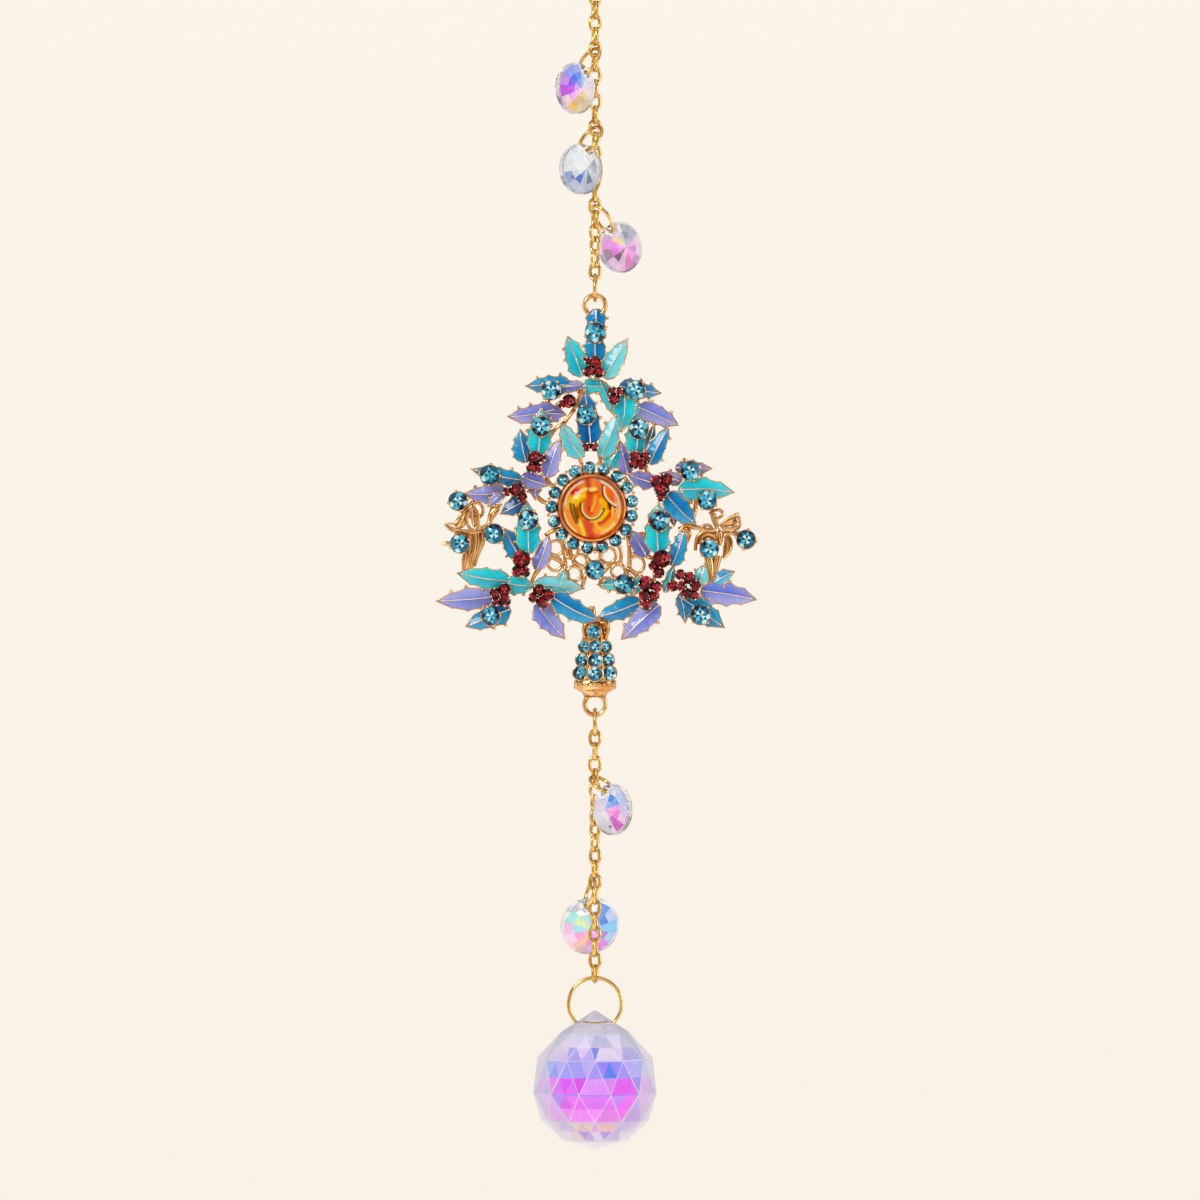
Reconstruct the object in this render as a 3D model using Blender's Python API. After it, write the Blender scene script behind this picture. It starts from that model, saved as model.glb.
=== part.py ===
"""Crystal suncatcher: a cast holly-tree pendant set with stones, hung on a link chain with glass discs and a ball.

The origin is the point where a hook holds the ring at the top. +Z is up, and the pendant faces -Y.
Lengths are in millimetres, and become metres where a mesh is made.
The pendant is drawn on a grid of its own: u to the right, v up, both counted from the middle of its halo in
units of GRID, and w, in millimetres, forward from its back face.
"""

import math

import bmesh
import bpy
from mathutils import Matrix, Vector

MM = 0.001

# Clearances
TOUCH_GAP = 0.15
SEAT_GAP = 0.12

# Hanging ring at the top
HANG_RING_OUTER = 18.0
HANG_RING_WIRE = 1.6

# Chain of oval links
LINK_LENGTH = 4.45
LINK_WIDTH = 3.1
LINK_WIRE = 0.72
LINK_BITE = 0.05
UPPER_LINKS = 28
LOWER_LINKS = 19

# Rings that join the chain to the pendant
CONNECTOR_OUTER = 6.8
CONNECTOR_WIRE = 1.0

# Small rings that hold the glass discs
JUMP_WIRE = 0.7
JUMP_LIFT = 0.15

# Glass discs
DISC_SMALL = 12.0
DISC_LARGE = 14.0
DISC_THICKNESS = 5.2
DISC_RIM = 1.2
DISC_HOLE = 2.5
DISC_HOLE_PLACE = 0.76

# Glass ball and its ring
BALL_DIAMETER = 30.0
BALL_NOSE = 2.6
BALL_SIDES = 14
BALL_RING_OUTER = 13.2
BALL_RING_WIRE = 0.85
BALL_TUNNEL_GAP = 0.3
BALL_RING_DEPTH = 4.8

# Pendant
GRID = 0.975
BACK_Y = 1.0
LOOP_OUTER = 3.05
LOOP_WIRE = 1.1
TOP_LOOP_BITE = 1.45
BOTTOM_LOOP_BITE = 1.25
LEAF_THICKNESS = 1.25
LEAF_RIDGE = 0.45
LAYER_RISE = 0.85
TWIG_WIDTH = 1.0
TWIG_HEIGHT = 1.1

# Cabochon, its bezel and the halo of small stones around it
CABOCHON_U = -0.7
CABOCHON_V = 0.0
CABOCHON_RADIUS = 7.0
CABOCHON_HEIGHT = 5.2
BEZEL_WALL = 0.8
BEZEL_HEIGHT = 3.2
BEZEL_FLOOR = 1.1
HALO_COUNT = 17
HALO_OUTSET = 1.48
HALO_START = 94.0
HALO_STONE = 2.9
HALO_TOP = 2.6
HALO_BITE = 0.47

# Outer edge of the bezel, the ring on which the halo's stones stand, and the foot that reaches under them
BEZEL_RADIUS = CABOCHON_RADIUS + SEAT_GAP + BEZEL_WALL
HALO_RADIUS = BEZEL_RADIUS + HALO_OUTSET
BEZEL_FOOT = HALO_OUTSET - HALO_STONE / 2 + HALO_BITE

# Stones
STONE_HEIGHT = 1.7
SEAT_TOP = 3.0
BERRY_HEIGHT = 1.5
BERRY_SEAT_TOP = 2.9
BERRY_SEAT_MARGIN = 0.8

# Leaves of the pendant: base u, v, tip u, v, half width, layer
LEAVES = (
    # Finial and the pair under it
    (0.0, 34.5, 0.0, 47.0, 2.9, 1),
    (-2.9, 31.6, -6.6, 41.2, 2.4, 1),
    (2.0, 31.2, 7.4, 40.5, 2.4, 1),
    # Arch over the upper window
    (-8.4, 28.3, -1.2, 30.2, 1.3, 0),
    (-2.8, 29.4, 3.2, 28.4, 1.5, 0),
    (1.4, 30.0, 4.4, 21.8, 1.5, 0),
    # Upper left
    (-7.0, 28.8, -16.8, 29.5, 2.3, 0),
    (-11.4, 24.4, -21.3, 22.0, 2.0, 0),
    (-11.8, 22.0, -6.9, 22.8, 2.0, 0),
    (-13.6, 13.6, -13.0, 21.5, 3.0, 1),
    (-16.4, 11.2, -18.1, 18.9, 2.3, 0),
    (-12.2, 7.0, -8.4, 16.9, 1.9, 1),
    (-16.9, 7.6, -11.6, 5.2, 1.7, 1),
    (-15.9, 8.0, -15.8, 2.6, 1.5, 0),
    (-3.6, 12.2, -8.2, 20.6, 2.0, 1),
    (-1.0, 15.4, -2.7, 27.9, 2.6, 1),
    # Upper right
    (6.2, 28.4, 15.8, 27.6, 1.9, 0),
    (7.7, 27.0, 6.6, 18.1, 1.8, 1),
    (8.8, 20.8, 9.6, 25.4, 1.2, 0),
    (10.0, 25.2, 20.1, 20.0, 2.2, 0),
    (9.9, 13.2, 10.2, 21.3, 3.1, 0),
    (2.3, 12.6, 5.2, 22.6, 2.1, 1),
    (5.6, 9.0, 1.2, 14.4, 2.2, 0),
    (7.0, 8.0, 5.8, 16.8, 1.6, 0),
    (12.6, 9.9, 17.5, 19.8, 1.8, 1),
    (12.0, 13.4, 16.0, 20.2, 1.1, 0),
    (14.4, 6.4, 7.4, 7.6, 1.9, 1),
    (20.6, 6.0, 15.8, 8.7, 1.3, 0),
    (19.2, 9.0, 28.0, 9.7, 1.9, 0),
    (20.0, 5.1, 33.4, 3.3, 3.0, 1),
    (17.6, 3.6, 24.4, -4.0, 2.5, 1),
    (18.0, 2.8, 19.0, -6.0, 1.7, 0),
    (15.2, -10.4, 15.0, 1.7, 3.1, 1),
    (18.4, -14.2, 21.4, -5.2, 1.6, 1),
    (11.2, -11.0, 8.4, -4.8, 2.1, 0),
    # Middle left
    (-17.6, 7.0, -29.9, 9.5, 1.9, 0),
    (-22.4, 3.5, -33.0, 3.2, 2.1, 0),
    (-22.4, 3.2, -24.6, 0.7, 1.2, 1),
    (-16.6, 1.6, -23.2, -1.7, 2.0, 0),
    (-15.9, -11.0, -16.2, 2.0, 3.0, 1),
    (-18.6, -11.9, -22.8, -4.6, 2.1, 0),
    (-14.9, -14.8, -11.6, -6.5, 1.7, 0),
    # Lower left
    (-20.6, -17.6, -33.4, -15.3, 2.6, 0),
    (-20.8, -18.4, -13.8, -18.0, 2.1, 0),
    (-23.8, -20.8, -38.2, -22.2, 2.5, 0),
    (-20.9, -24.6, -31.1, -28.4, 2.6, 0),
    (-14.2, -17.8, -2.4, -19.3, 1.8, 0),
    (-9.0, -17.5, -7.6, -14.0, 1.3, 0),
    (-14.0, -23.2, -7.2, -31.4, 2.4, 0),
    (-10.2, -21.4, 1.3, -26.7, 2.4, 1),
    # Lower right
    (10.6, -22.3, 0.4, -26.0, 2.3, 0),
    (15.2, -23.0, 6.2, -31.6, 2.6, 0),
    (11.2, -18.4, 0.6, -18.6, 1.6, 0),
    (9.2, -20.0, 11.4, -16.0, 1.3, 0),
    (16.8, -20.2, 19.2, -13.2, 1.0, 1),
    (24.4, -18.0, 26.8, -13.2, 1.9, 0),
    (28.8, -17.6, 33.6, -15.0, 1.4, 0),
    (25.6, -19.6, 39.0, -21.8, 2.6, 0),
    (20.6, -20.8, 31.0, -28.5, 2.6, 0),
    (20.0, -21.0, 21.5, -27.5, 1.2, 0),
    # Gold blossoms at the left and right ends
    (-30.4, -15.6, -28.6, -4.6, 1.9, 0),
    (-25.6, -4.6, -36.0, -3.9, 1.2, 1),
    (-26.2, -4.0, -23.2, 0.7, 1.1, 0),
    (-33.4, -3.6, -30.6, 1.4, 1.3, 0),
    (28.2, -17.8, 28.8, -6.4, 1.7, 0),
    (30.0, -12.0, 31.2, -5.2, 1.1, 0),
    (24.0, -10.0, 25.8, -4.4, 1.0, 0),
    (30.0, -4.8, 34.6, -1.6, 1.0, 0),
)

# Gold twigs behind the leaves: u, v of each end
TWIGS = (
    (0.2, 32.4, 0.2, 29.6),
    (-3.0, 29.4, -5.0, 23.6),
    (-5.0, 23.6, -7.4, 20.4),
    (-7.4, 20.4, -11.0, 17.0),
    (-10.6, 27.0, -12.2, 23.8),
    (-12.0, 20.0, -10.2, 22.2),
    (-7.4, 25.2, -4.2, 25.6),
    (-1.6, 15.4, -3.8, 12.0),
    (-3.8, 12.4, -2.6, 8.4),
    (0.6, 14.6, 1.2, 8.4),
    (-14.6, 9.4, -14.2, 6.6),
    (-11.8, 7.4, -8.4, 4.0),
    (-15.0, 4.0, -9.6, 0.6),
    (-17.0, 3.0, -19.5, 8.0),
    (6.4, 10.4, 9.6, 10.8),
    (12.2, 10.2, 13.4, 7.0),
    (7.0, 7.4, 8.6, 4.6),
    (-12.0, -6.6, -8.0, -5.0),
    (-11.4, -11.6, -7.4, -13.8),
    (-8.2, -6.8, -7.0, -13.8),
    (-7.4, -13.8, -6.6, -18.2),
    (-5.4, -7.6, -5.6, -12.0),
    (-5.6, -12.0, -2.0, -14.4),
    (-7.0, -12.0, -5.6, -12.0),
    (-1.8, -15.2, -2.9, -18.8),
    (1.6, -8.4, 0.6, -13.4),
    (2.0, -15.4, 5.6, -13.2),
    (5.2, -8.0, 6.0, -13.4),
    (6.0, -13.2, 8.4, -17.6),
    (7.8, -6.6, 8.2, -14.6),
    (8.2, -11.4, 14.0, -12.2),
    (7.6, -14.4, 10.6, -17.2),
    (-13.2, -14.4, -15.4, -18.4),
    (14.6, -14.0, 14.2, -18.6),
    (14.4, -18.8, 19.2, -18.4),
    (-23.0, -21.8, -24.4, -25.2),
    (20.0, -5.0, 25.4, -4.8),
    (24.2, 2.0, 23.2, -3.4),
    (28.0, 0.0, 29.6, -5.6),
    (25.0, -4.8, 35.4, -6.0),
    (-29.4, 1.8, -28.6, -4.6),
    (-24.6, 0.4, -25.4, -4.0),
    (-26.8, -6.2, -19.2, -6.8),
    (-30.6, -8.6, -35.8, -8.4),
    (-0.6, -23.6, -0.4, -28.0),
)

# Large blue stones: u, v, radius
STONES = (
    (0.1, 42.0, 2.5),
    (-10.6, 28.2, 2.4),
    (9.7, 28.2, 2.4),
    (-2.1, 22.2, 2.3),
    (-12.9, 19.5, 2.4),
    (10.5, 18.9, 2.4),
    (22.8, 8.9, 2.4),
    (-25.2, 7.9, 2.4),
    (-32.8, 1.6, 2.3),
    (26.9, 1.8, 2.3),
    (-32.4, -8.6, 2.3),
    (-24.2, -6.2, 2.4),
    (-16.0, -2.9, 2.4),
    (15.4, -3.2, 2.4),
    (27.4, -9.8, 2.3),
    (36.2, -7.6, 2.3),
    (0.0, -14.9, 2.3),
    (6.9, -18.3, 2.4),
    (-25.0, -26.0, 2.3),
    (25.3, -25.7, 2.4),
)

# Berry clusters: u, v, radius of each berry
BERRIES = (
    ((-1.9, 35.4, 0.9), (0.0, 34.8, 1.7), (-1.5, 32.7, 1.4), (0.8, 32.5, 1.4)),
    ((-6.2, 25.6, 1.7), (-8.0, 24.8, 1.0)),
    ((4.2, 28.0, 1.1), (5.9, 27.9, 1.1), (4.6, 26.0, 1.4)),
    ((-2.0, 14.6, 1.1), (-0.2, 14.6, 1.1)),
    ((-14.5, 12.0, 1.7), (-12.6, 12.0, 1.0), (-15.2, 9.6, 1.3), (-13.8, 9.5, 1.2)),
    ((9.6, 12.3, 1.4), (12.1, 12.5, 1.2), (9.3, 10.5, 1.3), (11.2, 10.6, 1.5)),
    ((-21.0, 3.9, 1.1), (-18.6, 4.3, 1.8), (-17.5, 2.5, 1.3)),
    ((14.8, 6.3, 1.6), (17.2, 6.8, 1.6), (16.0, 4.5, 1.9), (15.8, 2.6, 1.1)),
    ((-17.6, -12.3, 2.2), (-18.5, -15.2, 1.5), (-16.8, -15.4, 1.3)),
    ((-23.9, -20.5, 1.4), (-21.7, -19.6, 1.6), (-23.7, -22.5, 1.1), (-21.6, -22.2, 1.5)),
    ((-13.4, -19.7, 1.5), (-11.2, -20.8, 1.5), (-14.7, -21.5, 1.3), (-12.6, -22.7, 1.5)),
    ((16.0, -12.2, 2.2), (14.0, -13.8, 1.2), (15.3, -15.5, 1.4)),
    ((12.2, -18.1, 1.8), (14.7, -18.9, 1.4), (12.0, -21.0, 1.5), (14.1, -21.2, 1.4), (12.3, -23.3, 1.3)),
    (
        (20.5, -16.0, 1.3),
        (22.7, -16.8, 1.5),
        (24.1, -18.6, 1.4),
        (23.8, -20.9, 1.3),
        (22.0, -20.5, 1.3),
        (20.8, -18.8, 1.3),
        (18.6, -18.7, 1.4),
    ),
)

# Trunk: v and half width of each section, from the leaves down, and its stones as u, v, radius, reach forward
TRUNK = ((-26.4, 2.5), (-30.6, 2.6), (-41.4, 4.8), (-41.5, 5.1), (-43.6, 5.1), (-43.7, 3.2), (-45.4, 2.6))
TRUNK_DEPTH = 4.2
TRUNK_STONES = (
    (-0.2, -29.7, 1.5, 3.9),
    (-2.7, -33.4, 1.3, 3.0),
    (0.0, -33.3, 1.5, 4.6),
    (2.7, -33.4, 1.3, 3.0),
    (-3.2, -36.6, 1.3, 3.3),
    (0.0, -36.7, 1.5, 5.0),
    (3.2, -36.6, 1.3, 3.3),
    (-3.7, -39.6, 1.4, 3.5),
    (0.0, -39.8, 1.6, 5.4),
    (3.7, -39.6, 1.4, 3.5),
)

# Middles of the loops, which bite into the finial's tip and into the end of the foot
TOP_LOOP_V = LEAVES[0][3] + LOOP_OUTER - TOP_LOOP_BITE
BOTTOM_LOOP_V = TRUNK[-1][0] - LOOP_OUTER + BOTTOM_LOOP_BITE

# Turn of the chain's links about the vertical: link counted from the top, and degrees added to every other quarter turn
UPPER_TURNS = ((0, 90), (5, 90), (10, 45), (16, 38), (22, 37), (27, 90))
LOWER_TURNS = ((0, 0), (3, 45), (11, 98), (18, 90))

# Glass discs: name, x and y of the middle, drop from the disc's link, diameter
DISCS = (
    ("disc_1", -4.6, -5.8, 9.5, DISC_SMALL),
    ("disc_2", -3.3, -5.2, 9.9, DISC_SMALL),
    ("disc_3", 5.9, 3.6, 9.4, DISC_SMALL),
    ("disc_4", 4.1, -5.6, 7.3, DISC_SMALL),
    ("disc_5", -1.2, 4.6, 10.4, DISC_LARGE),
)

# The chain that each disc hangs from, and the count of links above its link
DISC_LINK_COUNT = {
    "disc_1": ("upper", 10),
    "disc_2": ("upper", 16),
    "disc_3": ("upper", 22),
    "disc_4": ("lower", 3),
    "disc_5": ("lower", 11),
}

# Degrees of each disc: direction its face looks, turn of its hole towards the chain, tip of its top edge forward
DISC_ANGLES = {
    "disc_1": (45, 36, 0),
    "disc_2": (38, 20, 0),
    "disc_3": (37, -38, 0),
    "disc_4": (-45, -22, 0),
    "disc_5": (8, -16, 20),
}


def clear_scene():
    for obj in list(bpy.data.objects):
        bpy.data.objects.remove(obj)


def material(name, colour, roughness, metallic):
    made = bpy.data.materials.new(name)
    made.use_nodes = True
    shader = made.node_tree.nodes["Principled BSDF"]
    shader.inputs["Base Color"].default_value = (*colour, 1)
    shader.inputs["Roughness"].default_value = roughness
    shader.inputs["Metallic"].default_value = metallic
    return made


def add_object(name, bm, finish, smooth_below=None):
    """A mesh object in the scene, from a bmesh in millimetres."""
    bmesh.ops.recalc_face_normals(bm, faces=bm.faces)
    bmesh.ops.scale(bm, vec=(MM, MM, MM), verts=bm.verts)
    mesh = bpy.data.meshes.new(name)
    bm.to_mesh(mesh)
    bm.free()
    mesh.materials.append(finish)
    if smooth_below:
        mesh.shade_smooth()
        mesh.set_sharp_from_angle(angle=math.radians(smooth_below))
    made = bpy.data.objects.new(name, mesh)
    bpy.context.scene.collection.objects.link(made)
    return made


def boolean(obj, other, operation, own_crossings=False):
    """Cuts or joins with another object, which is then a hidden helper."""
    modifier = obj.modifiers.new(operation.lower(), "BOOLEAN")
    modifier.operation = operation
    modifier.object = other
    modifier.solver = "EXACT"
    modifier.use_self = own_crossings
    other.hide_render = True
    other.display_type = "WIRE"


def closed_skin(bm, loops, capped):
    """Faces between loops of vertices that follow each other: round again to the first, or capped at both ends."""
    count = len(loops[0])
    pairs = list(zip(loops, loops[1:]))
    if not capped:
        pairs.append((loops[-1], loops[0]))
    for first, second in pairs:
        for k in range(count):
            after = (k + 1) % count
            bm.faces.new((first[k], first[after], second[after], second[k]))
    if capped:
        bm.faces.new(loops[0][::-1])
        bm.faces.new(loops[-1])


def add_wire_loop(bm, centre, along, across, half_length, half_width, wire, segments, sides):
    """An oval of wire: a closed tube around centre, in the plane of the directions along and across."""
    along = Vector(along).normalized()
    across = Vector(across).normalized()
    normal = along.cross(across)
    loops = []
    for k in range(segments):
        angle = 2 * math.pi * k / segments
        spot = centre + along * half_length * math.cos(angle) + across * half_width * math.sin(angle)
        outward = along * half_width * math.cos(angle) + across * half_length * math.sin(angle)
        outward.normalize()
        loop = []
        for j in range(sides):
            turn = math.pi * (1 + 2 * j / sides)
            loop.append(bm.verts.new(spot + (outward * math.cos(turn) + normal * math.sin(turn)) * wire / 2))
        loops.append(loop)
    closed_skin(bm, loops, capped=False)


def add_frustum(bm, centre, forward, rings, sides, start=0.0):
    """A solid turned about the direction forward: rings are (distance forward, radius), from the back."""
    forward = Vector(forward).normalized()
    aside = forward.orthogonal().normalized()
    other = forward.cross(aside)
    loops = []
    for distance, radius in rings:
        loop = []
        for k in range(sides):
            angle = start + 2 * math.pi * k / sides
            place = centre + forward * distance
            loop.append(bm.verts.new(place + (aside * math.cos(angle) + other * math.sin(angle)) * radius))
        loops.append(loop)
    closed_skin(bm, loops, capped=True)


def between(keys, at):
    """The value at a place, from (place, value) pairs joined by straight lines."""
    for (a, first), (b, second) in zip(keys, keys[1:]):
        if at <= b:
            return first + (second - first) * (at - a) / (b - a)
    return keys[-1][1]


# Chain

LINK_HALF = (LINK_LENGTH - LINK_WIRE) / 2
LINK_PITCH = LINK_LENGTH - 2 * LINK_WIRE + LINK_BITE


def link_direction(turns, index):
    """The direction across a link, in which it is wide."""
    angle = math.radians(between(turns, index) + 90 * index)
    return Vector((math.cos(angle), math.sin(angle), 0))


def add_chain(name, top_wire, count, turns, finish):
    """Links that hang from each other. top_wire is the height of the first link's upper wire.
    Returns the height of each link's middle and the height of the last lower wire."""
    odd, even = bmesh.new(), bmesh.new()
    middles = []
    for index in range(count):
        middle = top_wire - LINK_HALF - index * LINK_PITCH
        middles.append(middle)
        add_wire_loop(
            (even, odd)[index % 2],
            Vector((0, 0, middle)),
            (0, 0, 1),
            link_direction(turns, index),
            LINK_HALF,
            (LINK_WIDTH - LINK_WIRE) / 2,
            LINK_WIRE,
            segments=6,
            sides=3,
        )
    chain = add_object(name, even, finish)
    boolean(chain, add_object(name + "_other_links", odd, finish), "UNION")
    return middles, middles[-1] - LINK_HALF


def hooked_on(lower_wire, upper_thickness, own_thickness):
    """Height of a piece's upper wire, where it hangs on a wire at the height lower_wire."""
    return lower_wire + (upper_thickness + own_thickness) / 2 + TOUCH_GAP


def add_round_ring(name, top_wire, outer, wire, across, finish, segments=12, sides=4):
    """A ring whose upper wire is at the height top_wire. Returns the heights of its middle and its lower wire."""
    radius = (outer - wire) / 2
    bm = bmesh.new()
    middle = top_wire - radius
    add_wire_loop(bm, Vector((0, 0, middle)), (0, 0, 1), across, radius, radius, wire, segments, sides)
    add_object(name, bm, finish, smooth_below=60)
    return middle, middle - radius


# Glass discs

def add_disc(name, centre, diameter, face, lean, tip, finish):
    """A disc cut to a low cone on both faces, with a hole near its rim. Returns the hole's middle and the face direction."""
    radius = diameter / 2
    angle = math.radians(face)
    normal = Vector((math.sin(angle), -math.cos(angle), 0))
    side = Vector((math.cos(angle), math.sin(angle), 0))
    lean = math.radians(lean)
    upright = Vector((0, 0, math.cos(lean))) + side * math.sin(lean)
    tip = math.radians(tip)
    up = upright * math.cos(tip) + normal * math.sin(tip)
    normal = normal * math.cos(tip) - upright * math.sin(tip)
    aside = up.cross(normal)
    bm = bmesh.new()
    rim_count, star_count = 16, 8
    star_radius = 0.62 * radius
    star_height = DISC_RIM / 2 + (DISC_THICKNESS - DISC_RIM) / 2 * 0.45

    def spot(turn, distance, height):
        turn = 2 * math.pi * turn
        return bm.verts.new(centre + (up * math.cos(turn) + aside * math.sin(turn)) * distance + normal * height)

    rims = []
    for sign in (1, -1):
        apex = spot(0, 0, sign * DISC_THICKNESS / 2)
        star = [spot(k / star_count, star_radius, sign * star_height) for k in range(star_count)]
        rim = [spot((k + 0.5) / rim_count, radius, sign * DISC_RIM / 2) for k in range(rim_count)]
        for k in range(star_count):
            after = (k + 1) % star_count
            bm.faces.new((apex, star[k], star[after]))
            bm.faces.new((star[k], rim[2 * k], rim[2 * k + 1]))
            bm.faces.new((star[k], rim[2 * k + 1], star[after]))
            bm.faces.new((rim[2 * k - 1], rim[2 * k], star[k]))
        rims.append(rim)
    for k in range(rim_count):
        after = (k + 1) % rim_count
        bm.faces.new((rims[0][k], rims[0][after], rims[1][after], rims[1][k]))
    disc = add_object(name, bm, finish)
    hole = centre + up * radius * DISC_HOLE_PLACE
    drill = bmesh.new()
    reach = DISC_THICKNESS
    add_frustum(drill, hole - normal * reach, normal, ((0, DISC_HOLE / 2), (2 * reach, DISC_HOLE / 2)), sides=8)
    boolean(disc, add_object(name + "_drill", drill, finish), "DIFFERENCE")
    return hole, normal


def add_jump_ring(name, link_middle, link_across, hole, normal, finish):
    """A ring through a chain link and a disc's hole, with its wire passing squarely through both as far as it can."""
    start = Vector((0, 0, link_middle + JUMP_LIFT))
    reach = hole - start
    along = reach.normalized()
    link_normal = Vector((0, 0, 1)).cross(link_across)
    if link_normal.dot(normal) < 0:
        link_normal.negate()
    through = link_normal + normal
    through -= along * through.dot(along)
    bm = bmesh.new()
    add_wire_loop(
        bm, (start + hole) / 2, along, through, reach.length / 2, reach.length / 2, JUMP_WIRE, segments=10, sides=4
    )
    add_object(name, bm, finish, smooth_below=60)


# Glass ball

def add_ball(ring_middle, finish):
    """A ball of triangular facets with a pointed nose, and a tunnel in the nose for its ring."""
    radius = BALL_DIAMETER / 2
    ring_radius = (BALL_RING_OUTER - BALL_RING_WIRE) / 2
    apex_height = ring_middle - ring_radius + BALL_RING_DEPTH
    centre = Vector((0, 0, apex_height - radius - BALL_NOSE))
    bm = bmesh.new()
    rows = ((57, 0.5), (26, 0.0), (-6, 0.5), (-33, 0.0), (-58, 0.5))
    loops = []
    for latitude, shift in rows:
        height = radius * math.sin(math.radians(latitude))
        wide = radius * math.cos(math.radians(latitude))
        loop = []
        for k in range(BALL_SIDES):
            turn = 2 * math.pi * (k + shift) / BALL_SIDES
            loop.append(bm.verts.new(centre + Vector((wide * math.sin(turn), -wide * math.cos(turn), height))))
        loops.append((loop, shift))
    for (upper, shift), (lower, _) in zip(loops, loops[1:]):
        step = 1 if shift else 0
        for k in range(BALL_SIDES):
            after = (k + 1) % BALL_SIDES
            meet = (k + step) % BALL_SIDES
            bm.faces.new((upper[k], upper[after], lower[meet]))
            bm.faces.new((lower[meet], lower[meet - 1], upper[k]))
    top = bm.verts.new((0, 0, apex_height))
    bottom = bm.verts.new(centre - Vector((0, 0, radius)))
    for k in range(BALL_SIDES):
        after = (k + 1) % BALL_SIDES
        bm.faces.new((loops[0][0][k], loops[0][0][after], top))
        bm.faces.new((loops[-1][0][k], loops[-1][0][after], bottom))
    ball = add_object("crystal_ball", bm, finish)
    tunnel = bmesh.new()
    add_wire_loop(
        tunnel,
        Vector((0, 0, ring_middle)),
        (0, 0, 1),
        (1, 0, 0),
        ring_radius,
        ring_radius,
        BALL_RING_WIRE + 2 * BALL_TUNNEL_GAP,
        segments=20,
        sides=6,
    )
    boolean(ball, add_object("ball_tunnel", tunnel, finish), "DIFFERENCE")


# Pendant

FORWARD = Vector((0, -1, 0))


class Pendant:
    """The pendant's drawing grid, placed in the part."""

    def __init__(self, top_loop_height):
        self.origin_height = top_loop_height - TOP_LOOP_V * GRID

    def at(self, u, v, w):
        return Vector((u * GRID, BACK_Y - w, self.origin_height + v * GRID))


def add_leaf(bm, pendant, leaf, index):
    """One leaf: a flat-backed solid with spiked edges and a raised midrib."""
    base_u, base_v, tip_u, tip_v, half_width, layer = leaf
    along = Vector((tip_u - base_u, tip_v - base_v))
    side = Vector((-along.y, along.x)).normalized() * half_width
    back = layer * LAYER_RISE + 0.03 * (index % 9)
    edge = back + LEAF_THICKNESS

    def spot(share, reach, height):
        place = Vector((base_u, base_v)) + along * share + side * reach
        return bm.verts.new(pendant.at(place.x, place.y, height))

    outline = ((0.0, 0.3), (0.3, 0.95), (0.42, 0.72), (0.66, 0.8), (1.0, 0.0))
    outline += ((0.66, -0.8), (0.42, -0.72), (0.3, -0.95), (0.0, -0.3))
    lower = [spot(share, reach, back) for share, reach in outline]
    upper = [spot(share, reach, edge) for share, reach in outline]
    peak = spot(0.42, 0.0, edge + LEAF_RIDGE)
    bm.faces.new(lower)
    for k in range(len(outline)):
        bm.faces.new((lower[k - 1], lower[k], upper[k], upper[k - 1]))
        bm.faces.new((upper[k - 1], upper[k], peak))


def add_twig(bm, pendant, twig, index):
    """One bar of the openwork behind the leaves."""
    start, end = Vector(twig[:2]), Vector(twig[2:])
    side = Vector((start.y - end.y, end.x - start.x)).normalized() * TWIG_WIDTH / 2 / GRID
    back = 0.17 + 0.03 * (index % 5)
    loops = []
    for end_point in (start, end):
        corners = ((side, back), (-side, back), (side * 0, back + TWIG_HEIGHT))
        loops.append(
            [bm.verts.new(pendant.at(end_point.x + shift.x, end_point.y + shift.y, w)) for shift, w in corners]
        )
    closed_skin(bm, loops, capped=True)


def add_trunk(bm, pendant):
    """The half-round tapering trunk, its foot and its stones."""
    loops = []
    for v, half_width in TRUNK:
        depth = TRUNK_DEPTH * half_width / TRUNK[-3][1]
        corners = ((1.0, 0.35), (0.94, 0.6 * depth), (0.5, depth), (-0.5, depth), (-0.94, 0.6 * depth), (-1.0, 0.35))
        loops.append([bm.verts.new(pendant.at(share * half_width, v, w)) for share, w in corners])
    closed_skin(bm, loops, capped=True)
    for u, v, radius, reach in TRUNK_STONES:
        rings = ((reach - 2.2, radius), (reach - 0.5, radius), (reach, radius * 0.55))
        add_frustum(bm, pendant.at(u, v, 0), FORWARD, rings, sides=6)


def add_halo(bm, pendant):
    """Small stones in round settings around the cabochon."""
    middle = pendant.at(CABOCHON_U, CABOCHON_V, 0)
    for k in range(HALO_COUNT):
        angle = math.radians(HALO_START + 360 * k / HALO_COUNT)
        centre = middle + Vector((math.cos(angle), 0, math.sin(angle))) * HALO_RADIUS
        rings = ((0.25, HALO_STONE / 2), (HALO_TOP - 0.5, HALO_STONE / 2), (HALO_TOP, HALO_STONE * 0.27))
        add_frustum(bm, centre, FORWARD, rings, sides=6, start=angle)


def add_bezel(bm, pendant):
    """The round cup that holds the cabochon."""
    middle = pendant.at(CABOCHON_U, CABOCHON_V, 0)
    inner = CABOCHON_RADIUS + SEAT_GAP
    profile = (
        (0.1, BEZEL_RADIUS + BEZEL_FOOT),
        (BEZEL_FLOOR, BEZEL_RADIUS + BEZEL_FOOT),
        (BEZEL_HEIGHT, BEZEL_RADIUS - 0.2),
        (BEZEL_HEIGHT, inner),
        (BEZEL_FLOOR, inner),
    )
    sides = 18
    loops = []
    for w, radius in profile:
        loops.append(
            [
                bm.verts.new(
                    middle
                    + FORWARD * w
                    + Vector((math.cos(2 * math.pi * k / sides), 0, math.sin(2 * math.pi * k / sides))) * radius
                )
                for k in range(sides)
            ]
        )
    closed_skin(bm, loops, capped=True)


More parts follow.
